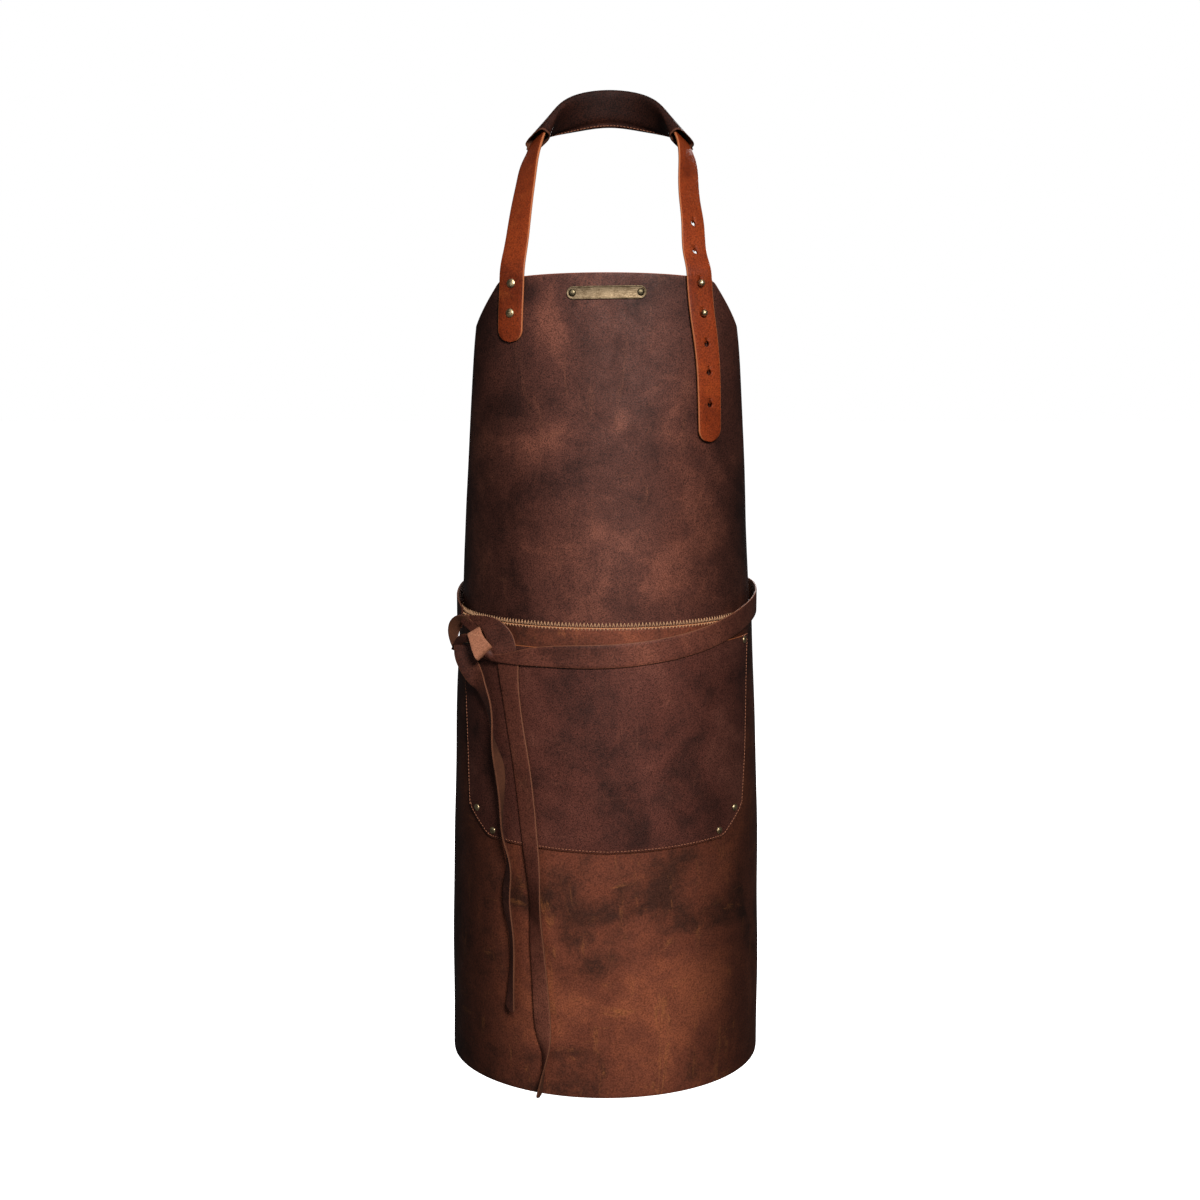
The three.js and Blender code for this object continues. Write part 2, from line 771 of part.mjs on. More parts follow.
function buildApron() {
  const pocketRivets = pocketSpots();
  const plateRivets = plateSpots();
  const tieRivets = anchorSpots();
  const strap = neckStrapFrames();
  const strapOuter = STRAP_THICKNESS / 2;
  const strapRivets = ["lower", "upper"].map((place, i) => {
    const [x, height] = LEFT_ON_BIB[i + 1];
    return [`strap_rivet_${place}`, spotOnBody(angleAtX(x, height), height)];
  });
  const studs = ["upper", "lower"].map((place, i) => {
    const [x, height] = RIGHT_ON_BIB[i + 1];
    return [`strap_stud_${place}`, spotOnBody(angleAtX(x, height), height)];
  });
  const drills = (spots) => spots.map(([, spot]) => drill(spot, HOLE_RADIUS));
  const tieHoles = drills(tieRivets);

  add("bib_panel", cut(bibGeometry(), drills([...plateRivets, ...strapRivets, ...studs])), leatherDark);
  add("skirt_panel", cut(skirtGeometry(), [...drills(pocketRivets), ...tieHoles]), leatherBrown);
  add("front_pocket", cut(pocketGeometry(), drills(pocketRivets)), leatherDark);
  add("neck_strap", neckStrapGeometry(strap), leatherTan);
  add("neck_pad", padGeometry(), leatherDark);
  add("name_plate", cut(plateGeometry(), drills(plateRivets)), brass);
  add("waist_tie_left", cut(bodyStrap(LEFT_TIE, TIE_WIDTH, TIE_THICKNESS), tieHoles), leatherBrown);
  add("waist_tie_right", cut(bodyStrap(RIGHT_TIE, TIE_WIDTH, TIE_THICKNESS), tieHoles), leatherBrown);
  add("tie_knot", knotGeometry(), leatherBrown);
  add("knot_loop_right", bodyStrap(RIGHT_LOOP, LOOP_WIDTH, TIE_THICKNESS), leatherBrown);
  add("knot_loop_left", bodyStrap(LEFT_LOOP, LOOP_WIDTH, TIE_THICKNESS), leatherBrown);
  add("tie_tail_left", bodyStrap(LEFT_TAIL, LEFT_TAIL_WIDTH, TIE_THICKNESS), leatherBrown);
  add("tie_tail_right", bodyStrap(RIGHT_TAIL, RIGHT_TAIL_WIDTH, TIE_THICKNESS), leatherBrown);
  add("waist_seam_thread", seamThreadGeometry(), thread);
  add("pocket_thread", pocketThreadGeometry(), thread);
  add("pad_thread", padThreadGeometry(), thread);

  pocketRivets.forEach(([name, spot, outer]) => {
    addRivet(name, spot, skirtInner, outer, POCKET_RIVET_HEAD);
  });
  plateRivets.forEach(([name, spot]) => {
    addRivet(name, spot, bibInner, bibOuter + GAP + PLATE_THICKNESS, PLATE_RIVET_HEAD);
  });
  strapRivets.forEach(([name, spot]) => {
    addRivet(name, spot, bibInner, leftStrapOffset + strapOuter, STRAP_RIVET_HEAD);
  });
  studs.forEach(([name, spot]) => {
    addStud(name, spot, bibInner, bibOuter + GAP, rightStrapOffset + strapOuter);
  });
  tieRivets.forEach(([name, spot]) => {
    addRivet(name, spot, skirtInner, ANCHOR_OFFSET + TIE_THICKNESS / 2, TIE_RIVET_HEAD);
  });
}

buildApron();

// The origin: where the pad's inner face rests on the nape, on the apron's middle plane.
function neckRest() {
  const offCentre = THREE.MathUtils.radToDeg(Math.asin(-NECK_CENTRE.x / NECK_RADIUS));
  const [, frame] = strapFrames([-1, 0, 1].map((side) => neckStation(offCentre + side)));
  return frame.at.clone().addScaledVector(frame.out, -PAD_HALF_THICKNESS);
}

apron.position.copy(neckRest()).negate();
const part = new THREE.Group();
part.add(apron);

export default part;
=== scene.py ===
"""A leather butcher apron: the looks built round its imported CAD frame.

Shapes are worked out in millimetres from the middle of the waist seam (X to the right, Y back, heights up)
and put into the row frame, in metres, as each mesh is made.
"""
import math

import bmesh
import bpy
import numpy as np
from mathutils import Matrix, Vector


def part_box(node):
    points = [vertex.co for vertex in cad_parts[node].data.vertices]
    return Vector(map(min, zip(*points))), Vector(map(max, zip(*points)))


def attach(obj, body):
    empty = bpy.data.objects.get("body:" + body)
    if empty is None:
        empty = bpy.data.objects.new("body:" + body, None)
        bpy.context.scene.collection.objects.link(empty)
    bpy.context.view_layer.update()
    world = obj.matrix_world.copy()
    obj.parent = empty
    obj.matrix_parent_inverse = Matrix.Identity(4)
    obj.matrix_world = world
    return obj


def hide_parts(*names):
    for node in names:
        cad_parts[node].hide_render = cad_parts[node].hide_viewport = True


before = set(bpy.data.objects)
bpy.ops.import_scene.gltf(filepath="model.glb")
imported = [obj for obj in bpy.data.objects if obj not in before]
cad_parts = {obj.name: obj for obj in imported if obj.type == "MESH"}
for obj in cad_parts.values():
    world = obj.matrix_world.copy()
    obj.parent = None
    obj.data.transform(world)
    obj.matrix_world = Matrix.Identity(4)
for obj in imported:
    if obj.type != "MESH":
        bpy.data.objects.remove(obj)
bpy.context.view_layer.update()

MM = 0.001

# The body that the leather is wrapped round.
SKIRT_LENGTH = 519
BIB_LENGTH = 360
HEM_HALF_WIDTH = 174
TOP_NARROWING = 40
WAIST_HALF_DEPTH = 140
CHEST_FLATTENING = 78

# Leather.
PANEL_THICKNESS = 2
STRAP_THICKNESS = 2.8
TIE_THICKNESS = 2
STRAP_WIDTH = 28
TIE_WIDTH = 25
TIE_SPACING = 2.5
MM_PER_DEGREE = 1.6
GAP = 0.3
BIB_OUTER = PANEL_THICKNESS / 2
BIB_INNER = -PANEL_THICKNESS / 2

# Panels. Arcs are distances round the body from the front centre line.
PANEL_HALF_ARC = 300
HEM_CORNER_RADIUS = 90
SEAM_LAP = 12
SKIRT_OFFSET = 2.7
SKIRT_OUTER = SKIRT_OFFSET + PANEL_THICKNESS / 2
SKIRT_INNER = SKIRT_OFFSET - PANEL_THICKNESS / 2
PANEL_SPACING = 3.5
# From the raw edge inwards: the distance, and the share of the full thickness there.
RIM = ((0, 0.35), (0.3, 0.8), (0.9, 1))

# Pocket.
POCKET_TOP = -21
POCKET_BOTTOM = -242
POCKET_TOP_ARC = 183
POCKET_LOW_ARC = 164
POCKET_CHAMFER = (133, -237)
POCKET_CHAMFER_RISE = 27
POCKET_BULGE = 5.2
POCKET_OFFSET = 5.4
POCKET_RIVETS = {"top": (172, -26), "side": (151, -208), "bottom": (127, -228.6)}

# Neck strap and pad.
NECK_CENTRE = np.array([3.7, -55.6, 485.6])
NECK_RADIUS = 79.6
NECK_SLOPE = math.radians(45.7)
NECK_BACK = np.array([0, math.cos(NECK_SLOPE), math.sin(NECK_SLOPE)])
NECK_AXIS = np.cross([1, 0, 0], NECK_BACK)
STRAP_ARC_HALF_ANGLE = 82
NAPE_LEAN = 30.7
MOUTH_LEAN = -40
STRAP_BOW = 0.6
STRAP_STATIONS = 420
STRAP_TIP_RADIUS = 13
# How much a change of direction counts against a change of place when stations are spaced.
ACROSS_WEIGHT = 30
LEFT_STRAP_OFFSET = BIB_OUTER + GAP + STRAP_BOW + STRAP_THICKNESS / 2
STUD_FLANGE = 1.5
RIGHT_STRAP_OFFSET = LEFT_STRAP_OFFSET + STUD_FLANGE + GAP
LEFT_ON_BIB = [[-96.8, 291.5], [-96, 320.5], [-94.5, 350], [-93.8, 362]]
LEFT_FREE = [
    [-91.6, -119, 386], [-88.6, -108, 410], [-85.7, -93, 435], [-82.6, -75, 459], [-79.2, -58.5, 480],
]
RIGHT_FREE = [
    [84.6, -58.5, 480], [84.6, -75, 459], [85.2, -93, 435], [87.5, -108, 410], [89.2, -118, 381],
]
RIGHT_ON_BIB = [
    [90.7, 362], [91.7, 350], [94.8, 320.5], [99, 290.5], [101.7, 260.5], [103, 228], [103.6, 205],
    [104, 190.5],
]
PUNCHED_HEIGHTS = (410, 381, 350, 320.5, 290.5, 260.5, 228)
BUTTON_HOLE_RADIUS = 3
SLIT_TOP = 6
SLIT_HALF_WIDTH = 0.4
CUT_DEPTH = 4

# Pad: a flattened tube round the strap, folded above and sewn below, that gathers towards its mouths.
PAD_HALF_ANGLE = 74
PAD_GATHER_ANGLE = 46
PAD_GATHER = 3.5
PAD_LIP_ANGLE = PAD_HALF_ANGLE - 5
PAD_FOLD = 17.5
PAD_SEWN = -21.5
PAD_TUBE_LOW = -15.5
PAD_LINING_LOW = -15
PAD_SWELL = 5
PAD_MOUTH_SWELL = 2.4
PAD_LIP_SWELL = 0.6
PAD_FLATNESS = 3.4
PAD_FLANGE = 1.5
PAD_WALL = 1.1

# Name plate.
PLATE_HALF_LENGTH = 40
PLATE_HALF_HEIGHT = 6.6
PLATE_HEIGHT = 340.3
PLATE_TILT = 0.014
PLATE_FIELD = 0.9
PLATE_RIVET_X = 34.2

# Fasteners, with the radii of their heads.
PLATE_RIVET = 3.8
STRAP_RIVET = 4.75
PATCH_RIVET = 4
POST_RADIUS = 1.4
STUD_NECK_RADIUS = 2.2
STUD_BALL_RADIUS = 3.6
STUD_FLANGE_RADIUS = 4
CAP_THICKNESS = 1.2
ROUND_SIDES = 32

# Stitches.
STITCH_LENGTH = 2.7
POCKET_STITCH = {"pitch": 3.7, "radius": 0.4}
PAD_STITCH = {"pitch": 3.6, "radius": 0.38}
STITCH_INSET = 2.6
ZIGZAG_PITCH = 3.8
ZIGZAG_HALF_ARC = 291
ZIGZAG_TOP = 4.8
ZIGZAG_BOTTOM = -2.4

# Waist ties and tails: [angle in degrees round the body, height, offset from the body], and where it isn't
# 0 and 1, the roll in degrees and the share of the width. The left tail's roll of 40 faces it forwards.
LEFT_TIE = [
    [-104.5, -13, 6.2], [-111, -13, 6.2], [-117, -12.5, 6.2], [-124, -12.5, 5.6], [-136, -12, 4],
    [-152, -9.5, 4], [-168, -2.5, 4], [-184, 5.5, 4], [-200, 11.5, 4], [-216, 15, 6], [-232, 15, 9.5],
    [-245, 15.5, 11], [-257, 15, 10.5], [-270, 12, 9], [-282, 8, 9], [-294, 2.5, 9.5], [-305, -3.5, 10.5],
    [-316, -10.5, 11.5], [-325, -16, 12.2], [-333, -20, 12.9], [-346, -25, 13.5], [-360, -28, 13.7],
    [-374, -29, 13.7, 0, 0.95], [-384, -30.5, 13.8, 0, 0.82], [-392, -33.5, 14.6, 0, 0.6],
    [-399, -36, 16, 0, 0.36], [-405, -35, 18, 0, 0.3], [-409, -32, 20, 0, 0.3],
]
RIGHT_TIE = [
    [104.5, -13, 6.2], [111, -13, 6.2], [117, -12.5, 6.2], [124, -13, 6.8], [136, -13, 8], [152, -10.5, 8],
    [168, -3, 8], [184, 5, 8], [200, 11, 8], [216, 14, 8.5], [232, 15, 8.5], [245, 15.5, 6.5],
    [257, 13.5, 6.3], [268, 8, 6.4], [280, 2, 6.8], [290, -4, 7.6],
]
ANCHOR_RIVETS = {"front": 106.6, "back": 110.4}
ANCHOR_HEIGHT = -13
ANCHOR_OUTER = 7.2
LEFT_TAIL = [
    [-58.3, -28, 19, 40, 1.2], [-57.8, -36, 18.5, 40, 1.35], [-55.6, -47, 18, 38, 1.3],
    [-51.9, -58, 17.5, 25, 1.2], [-47.5, -70.5, 17.5, -12, 1.15], [-44.6, -84, 18, -24, 1.1],
    [-42.6, -98, 19, -36], [-41.2, -121, 20, -52], [-37.8, -155, 20, -86], [-36.8, -190, 20, -68],
    [-36.3, -231, 18, -54], [-34.5, -257, 16, -46], [-35.4, -295, 15, -32], [-33.5, -336, 15, -42],
    [-33.2, -378, 15, -46], [-34.2, -425, 14, -26],
]
RIGHT_TAIL = [
    [-36.6, -40, 11.7, 0, 1.25], [-36.3, -52, 11.7, 0, 1.15], [-35.2, -75, 11.7, -4, 1.05],
    [-33.3, -107, 11.7, -6], [-30.9, -141, 11.9, -8], [-28.7, -182, 12.2, -10], [-26.8, -227, 13, -16],
    [-25.2, -263, 14, -26], [-24.4, -300, 14, -37], [-23.8, -345, 13, -27], [-22.8, -390, 12, -20],
    [-21.8, -435, 12, -18], [-21.2, -475, 13, -62, 0.9], [-23.4, -519, 13, -96, 0.6],
]
# Each tail's route, its width, and the height just below its hinge where it starts to swing.
TAILS = {"left": (LEFT_TAIL, 18, -54), "right": (RIGHT_TAIL, 22, -51)}
# Knot: the two edges of each strip, point by point in the waist frame. The grain side faces forwards where
# the first edge is on the right of a strip that runs down.
LOOP_RIGHT = [
    [-154, -84, 4, -150, -87, -2], [-130, -107, 7, -139, -104, -3], [-114, -118, 5, -132, -112, -6],
    [-103, -123, -3, -127, -116, -14], [-97, -124, -13, -124, -117, -23], [-94, -125, -26, -120, -118, -29],
    [-92, -123, -40, -113, -119, -41],
]
LOOP_LEFT = [
    [-146, -96, 5, -146, -97, -2], [-153, -89, 5, -150, -90, -2], [-169, -68, -5, -156, -77, -8],
    [-172, -62, -17, -159, -73, -16], [-169, -67, -29, -161, -73, -25], [-164, -72, -37, -159, -75, -32],
    [-152, -84, -40, -150, -85, -33],
]
LOOP_FOLD = [
    [-168, -68, -36, -161, -75, -37], [-163, -78, -25, -155, -86, -28], [-155, -91, -16, -151, -94, -24],
    [-144, -101, -14, -143, -103, -22], [-134, -108, -13, -133, -110, -20],
]
CROSSING = [
    [-148, -90, 6, -156, -87, -3], [-144, -97, 1, -150, -95, -7], [-133, -108, -4, -142, -104, -12],
    [-124, -112, -14, -132, -110, -22],
]
WRAP = [
    [-135, -102, -8, -147, -97, -16], [-133, -111, -5, -147, -106, -14], [-131, -116, -9, -145, -111, -18],
    [-127, -121, -15, -142, -116, -27], [-121, -122, -22, -138, -118, -37],
    [-120, -116, -25, -136, -113, -40], [-121, -108, -23, -136, -105, -38],
]
KNOT_CORE = ([-143, -100, -12], [-118, -117, -38], 7.5)

# Where the waist frame's origin lies in the row frame, from the skirt's own box.
skirt_low, skirt_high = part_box("skirt_panel")
WAIST = np.array([
    (skirt_low.x + skirt_high.x) / 2,
    skirt_low.y + (WAIST_HALF_DEPTH + SKIRT_OUTER) * MM,
    skirt_high.z,
])


def to_row(points):
    return WAIST + np.asarray(points, float) * MM


# ---- the wrapped surface ----

def section(height):
    rise = np.maximum(0, height + SKIRT_LENGTH) / (BIB_LENGTH + SKIRT_LENGTH)
    up = np.clip(height / BIB_LENGTH, 0, 1)
    chest = up * up * (3 - 2 * up)
    return HEM_HALF_WIDTH - TOP_NARROWING * rise**2, WAIST_HALF_DEPTH - CHEST_FLATTENING * chest


def outward(angle, height):
    half_width, half_depth = section(height)
    normal = [np.sin(angle) / half_width, -np.cos(angle) / half_depth, np.zeros(np.shape(angle))]
    return unit(np.stack(normal, axis=-1))


def swell(angle, height):
    """Slow swells of the leather, in millimetres."""
    broad = 0.5 * np.sin(height / 47 + 2.1 * angle) * np.cos(3.1 * angle + height / 131)
    return broad + 0.25 * np.sin(height / 23 - 4 * angle)


def skin(angle, height, offset=0):
    """The point at an angle round the body (0 in front, + to the right), a distance outside the surface."""
    angle, height = np.broadcast_arrays(np.asarray(angle, float), np.asarray(height, float))
    half_width, half_depth = section(height)
    x = half_width * np.sin(angle)
    y = half_depth * (1 - np.cos(angle)) - WAIST_HALF_DEPTH
    lift = np.asarray(offset + swell(angle, height))
    return np.stack([x, y, height], axis=-1) + outward(angle, height) * lift[..., None]


def angle_at_arc(arc, height):
    half_width, half_depth = section(np.asarray(height, float))
    steps = 24
    step = np.asarray(arc, float) / steps

    def speed(angle):
        return np.hypot(half_width * np.cos(angle), half_depth * np.sin(angle))

    angle = np.zeros(np.broadcast(step, half_width).shape)
    for _ in range(steps):
        angle = angle + step / speed(angle + step / 2 / speed(angle))
    return angle


def angle_at_x(x, height):
    return np.arcsin(x / section(height)[0])


def spot_at_angle(angle, height):
    return skin(angle, height), outward(angle, height)


def spot_at_arc(arc, height):
    return spot_at_angle(angle_at_arc(arc, height), height)


# ---- meshes ----

# The faces of a box whose corners are counted with the last axis first.
BOX_FACES = [(0, 1, 3, 2), (4, 6, 7, 5), (0, 4, 5, 1), (2, 3, 7, 6), (0, 2, 6, 4), (1, 5, 7, 3)]


def add_object(name, data):
    made = bpy.data.objects.new(name, data)
    bpy.context.scene.collection.objects.link(made)
    return made


def make_object(name, points, faces, materials, body, face_slots=None, edge=None, crease=None):
    """A closed mesh from points in the waist frame, riding on a CAD body."""
    mesh = bpy.data.meshes.new(name)
    mesh.from_pydata(to_row(points).tolist(), [], [list(map(int, face)) for face in faces])
    for material in materials:
        mesh.materials.append(material)
    if face_slots is not None:
        mesh.polygons.foreach_set("material_index", np.asarray(face_slots, np.int32))
    if edge is not None:
        attribute = mesh.attributes.new("edge", "FLOAT", "POINT")
        attribute.data.foreach_set("value", np.asarray(edge, np.float32).ravel())
    shell = bmesh.new()
    shell.from_mesh(mesh)
    bmesh.ops.recalc_face_normals(shell, faces=shell.faces)
    shell.to_mesh(mesh)
    shell.free()
    mesh.polygons.foreach_set("use_smooth", [True] * len(mesh.polygons))
    if crease is not None:
        mesh.set_sharp_from_angle(angle=math.radians(crease))
    piece = add_object(name, mesh)
    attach(piece, body)
    return piece


def loft_faces(count, size, ring_closed=False):
    """Quads through rings of equal size. Open lofts end in ladders between a ring's two halves."""
    faces = []
    flesh = []
    rings = count if ring_closed else count - 1
    for i in range(rings):
        here, there = i * size, (i + 1) % count * size
        for k in range(size):
            after = (k + 1) % size
            faces.append((here + k, here + after, there + after, there + k))
            flesh.append(k >= size // 2)
    if not ring_closed:
        end = (count - 1) * size
        for k in range(size // 2 - 1):
            back = size - 1 - k
            faces.append((k + 1, k, back, back - 1))
            faces.append((end + k, end + k + 1, end + back - 1, end + back))
            flesh += [False, False]
    return faces, flesh


def loft(name, rings, edge, materials, body):
    rings = np.asarray(rings)
    count, size = rings.shape[:2]
    faces, flesh = loft_faces(count, size)
    return make_object(name, rings.reshape(-1, 3), faces, materials, body, flesh, edge, crease=60)


def reach_along(path):
    """How far along a path each of its points is."""
    return np.concatenate([[0], np.cumsum(np.linalg.norm(np.diff(path, axis=0), axis=1))])


def merge(meshes):
    """Several (points, faces) as one."""
    points, faces, start = [], [], 0
    for part_points, part_faces in meshes:
        points.append(part_points)
        faces += [tuple(start + k for k in face) for face in part_faces]
        start += len(part_points)
    return np.concatenate(points), faces


def spline(points, count):
    """count points along a natural cubic through the given rows, spaced evenly by chord length."""
    points = np.asarray(points, float)
    knots = reach_along(points)
    gaps = np.diff(knots)
    size = len(points)
    system = np.eye(size)
    bend = np.zeros_like(points)
    for i in range(1, size - 1):
        system[i, i - 1:i + 2] = gaps[i - 1], 2 * (gaps[i - 1] + gaps[i]), gaps[i]
        bend[i] = 6 * ((points[i + 1] - points[i]) / gaps[i] - (points[i] - points[i - 1]) / gaps[i - 1])
    curve = np.linalg.solve(system, bend)
    at = np.linspace(0, knots[-1], count)
    i = np.clip(np.searchsorted(knots, at) - 1, 0, size - 2)
    after = ((at - knots[i]) / gaps[i])[:, None]
    before = 1 - after
    cubic = (before**3 - before) * curve[i] + (after**3 - after) * curve[i + 1]
    return before * points[i] + after * points[i + 1] + cubic * gaps[i, None]**2 / 6


def unit(vectors):
    return vectors / np.linalg.norm(vectors, axis=-1, keepdims=True)


def strap_frames(path, across):
    """Unit directions across a strap and out of its grain side; out is across x direction of travel."""
    along = unit(np.gradient(path, axis=0))
    width = unit(across - along * np.sum(across * along, axis=1, keepdims=True))
    return width, np.cross(width, along)


def band_outline(width, thickness, crown=0):
    """A strap's outline with rounded edges, as [across, out], and how raw the leather is at each point."""
    half, radius = width / 2 - thickness / 2, thickness / 2
    face = [(w, radius + crown * (1 - (w / half) ** 2)) for w in np.linspace(-half, half, 7)]
    turn = [(half + radius * math.cos(a), radius * math.sin(a)) for a in np.radians((55, 20))]
    upper = [(-w, n) for w, n in reversed(turn)] + face + turn
    lower = [(w, -min(n, radius)) for w, n in reversed(upper)]
    raw = [1, 1] + [0] * len(face) + [1, 1]
    return np.array(upper + lower), np.array(raw + raw)


def band(name, path, frames, widths, profile, materials, body):
    """A flat strap along a path, from its directions across and out and the shares of its width."""
    across, out = frames
    shape, raw = profile
    rings = (
        path[:, None]
        + across[:, None] * (widths[:, None] * shape[:, 0])[..., None]
        + out[:, None] * shape[None, :, 1, None]
    )
    return loft(name, rings, np.tile(raw, (len(path), 1)), materials, body)


def round_tips(path, radius, tips):
    """Width shares that round one or both ends of a strap. tips holds 0 for the first end, 1 for the last."""
    reach = reach_along(path)
    shares = np.ones(len(path))
    for tip in tips:
        near = np.clip((reach[-1] - reach if tip else reach) / radius, 0, 1)
        shares = np.minimum(shares, np.sqrt(1 - (1 - near) ** 2) * 0.94 + 0.06)
    return shares


def row_at_height(rows, height):
    """The row of a falling strap where it passes a height."""
    return np.array([[np.interp(-height, -rows[:, 1], column) for column in rows.T]])


def edge_band(name, edges, materials):
    """A strip of tie whose two edges run through pairs of points."""
    rows = spline(edges, 60)
    first, second = rows[:, :3], rows[:, 3:]
    path = (first + second) / 2
    spread = np.linalg.norm(second - first, axis=1) / TIE_WIDTH
    across = unit(second - first)
    out = unit(np.cross(across, np.gradient(path, axis=0)))
    profile = band_outline(TIE_WIDTH, TIE_THICKNESS)
    return band(name, path, (across, out), spread, profile, materials, "apron")


def round_faces(count, sides):
    """Faces between two poles, points 0 and 1, and the rings of points after them."""
    last = 2 + (count - 1) * sides
    faces = []
    for k in range(sides):
        after = (k + 1) % sides
        faces.append((0, 2 + after, 2 + k))
        faces.append((1, last + k, last + after))
        for low in range(2, last, sides):
            high = low + sides
            faces.append((low + k, low + after, high + after, high + k))
    return faces


def lathe(profile, sides=ROUND_SIDES):
    """Points and faces of a turned solid about +Y, from (radius, y) pairs that start and end on the axis."""
    turn = np.linspace(0, 2 * math.pi, sides, endpoint=False)
    rings = [
        np.column_stack([r * np.cos(turn), np.full(sides, y), r * np.sin(turn)])
        for r, y in profile[1:-1]
    ]
    poles = [[0, profile[0][1], 0], [0, profile[-1][1], 0]]
    return np.concatenate([poles, *rings]), round_faces(len(rings), sides)


def stand_on(points, spot, offset):
    """Local +Y put along a spot's outward direction, a distance outside it."""
    at, out = spot
    turn = np.array(Vector((0, 1, 0)).rotation_difference(Vector(out)).to_matrix())
    return points @ turn.T + at + out * offset


def dome(radius, height, foot=0.35):
    """The profile of a domed head above y = 0, up to the axis."""
    arc = [(radius * math.cos(a), foot + (height - foot) * math.sin(a)) for a in np.radians(range(0, 90, 15))]
    return [(radius * 0.94, 0), *arc, (0, height)]


def ease(low, high, value):
    share = np.clip((value - low) / (high - low), 0, 1)
    return share * share * (3 - 2 * share)


def capsule(start, end, radius):
    """A short plump stitch of thread between two points."""
    sides = 8
    axis = end - start
    side = unit(np.cross(axis, [0.3, 0.2, 1.0]))
    up = unit(np.cross(side, axis))
    turn = np.linspace(0, 2 * math.pi, sides, endpoint=False)[:, None]
    circle = side * np.cos(turn) + up * np.sin(turn)
    stations = ((0.05, 0.55), (0.2, 0.9), (0.5, 1), (0.8, 0.9), (0.95, 0.55))
    rings = [start + axis * along + circle * radius * share for along, share in stations]
    faces = [face[::-1] for face in round_faces(len(rings), sides)]
    return np.concatenate([[start, end], *rings]), faces


def stitches(name, path, body, material, pitch, radius):
    """A row of stitches along a path of points."""
    reach = reach_along(path)
    starts = np.arange(0, reach[-1] - STITCH_LENGTH, pitch)

    def at(distance):
        return np.array([np.interp(distance, reach, path[:, axis]) for axis in range(3)])

    points, faces = merge([capsule(at(start), at(start + STITCH_LENGTH), radius) for start in starts])
    return make_object(name, points, faces, [material], body)


def cut_out(piece, cutters):
    """Takes closed shapes, given as (points, faces) in the waist frame, out of a piece."""
    points, faces = merge(cutters)
    tool = make_object("cutter", points, faces, [], "apron")
    modifier = piece.modifiers.new("holes", "BOOLEAN")
    modifier.operation = "DIFFERENCE"
    modifier.solver = "MANIFOLD"
    modifier.object = tool
    bpy.context.view_layer.update()
    seen = piece.evaluated_get(bpy.context.evaluated_depsgraph_get())
    carved = bpy.data.meshes.new_from_object(seen)
    piece.modifiers.clear()
    piece.data = carved
    bpy.data.objects.remove(tool)


# ---- materials ----

def new_material(name):
    made = bpy.data.materials.new(name)
    made.use_nodes = True
    tree = made.node_tree
    return made, tree, tree.nodes["Principled BSDF"]


def feed(tree, node, inputs):
    """Puts numbers, colours or other nodes' outputs into a node's inputs."""
    for key, value in inputs.items():
        if isinstance(value, bpy.types.NodeSocket):
            tree.links.new(value, node.inputs[key])
        else:
            node.inputs[key].default_value = value


def add_node(tree, kind, inputs, **settings):
    made = tree.nodes.new(kind)
    for key, value in settings.items():
        setattr(made, key, value)
    feed(tree, made, inputs)
    return made


def position(tree, stretch=(1, 1, 1), turn=0.0):
    where = add_node(tree, "ShaderNodeTexCoord", {}).outputs["Object"]
    return add_node(
        tree, "ShaderNodeMapping", {"Vector": where, "Scale": stretch, "Rotation": (0, turn, 0)}
    ).outputs["Vector"]


def noise(tree, where, scale, detail=4.0, roughness=0.55, distortion=0.0):
    inputs = {
        "Vector": where, "Scale": scale, "Detail": detail, "Roughness": roughness, "Distortion": distortion,
    }
    return add_node(tree, "ShaderNodeTexNoise", inputs).outputs["Fac"]


def cells(tree, where, scale):
    return add_node(
        tree, "ShaderNodeTexVoronoi", {"Vector": where, "Scale": scale}, feature="SMOOTH_F1"
    ).outputs["Distance"]


def remap(tree, value, low, high, to_low=0.0, to_high=1.0):
    inputs = {"Value": value, "From Min": low, "From Max": high, "To Min": to_low, "To Max": to_high}
    return add_node(tree, "ShaderNodeMapRange", inputs, interpolation_type="SMOOTHSTEP").outputs["Result"]


def math_node(tree, operation, first, second):
    made = add_node(tree, "ShaderNodeMath", {0: first, 1: second}, operation=operation)
    return made.outputs["Value"]


def blend(tree, first, first_weight, second, second_weight):
    """The weighted sum of two values."""
    first_part = math_node(tree, "MULTIPLY", first, first_weight)
    return math_node(tree, "ADD", first_part, math_node(tree, "MULTIPLY", second, second_weight))


def mix(tree, share, first, second, mode="MIX"):
    """Colours mixed; the sockets of a colour mix are numbered 6, 7 and 2."""
    inputs = {0: share, 6: first, 7: second}
    return add_node(tree, "ShaderNodeMix", inputs, data_type="RGBA", blend_type=mode).outputs[2]


def colours(tones):
    """Tones given as they look on screen, 0 to 255, as linear light."""
    def linear(level):
        share = level / 255
        return share / 12.92 if share <= 0.04045 else ((share + 0.055) / 1.055) ** 2.4

    return [(*(linear(level) for level in tone), 1) for tone in tones]


def bump(tree, height, distance, strength=1.0, below=None):
    inputs = {"Height": height, "Distance": distance, "Strength": strength}
    if below is not None:
        inputs["Normal"] = below
    return add_node(tree, "ShaderNodeBump", inputs).outputs["Normal"]


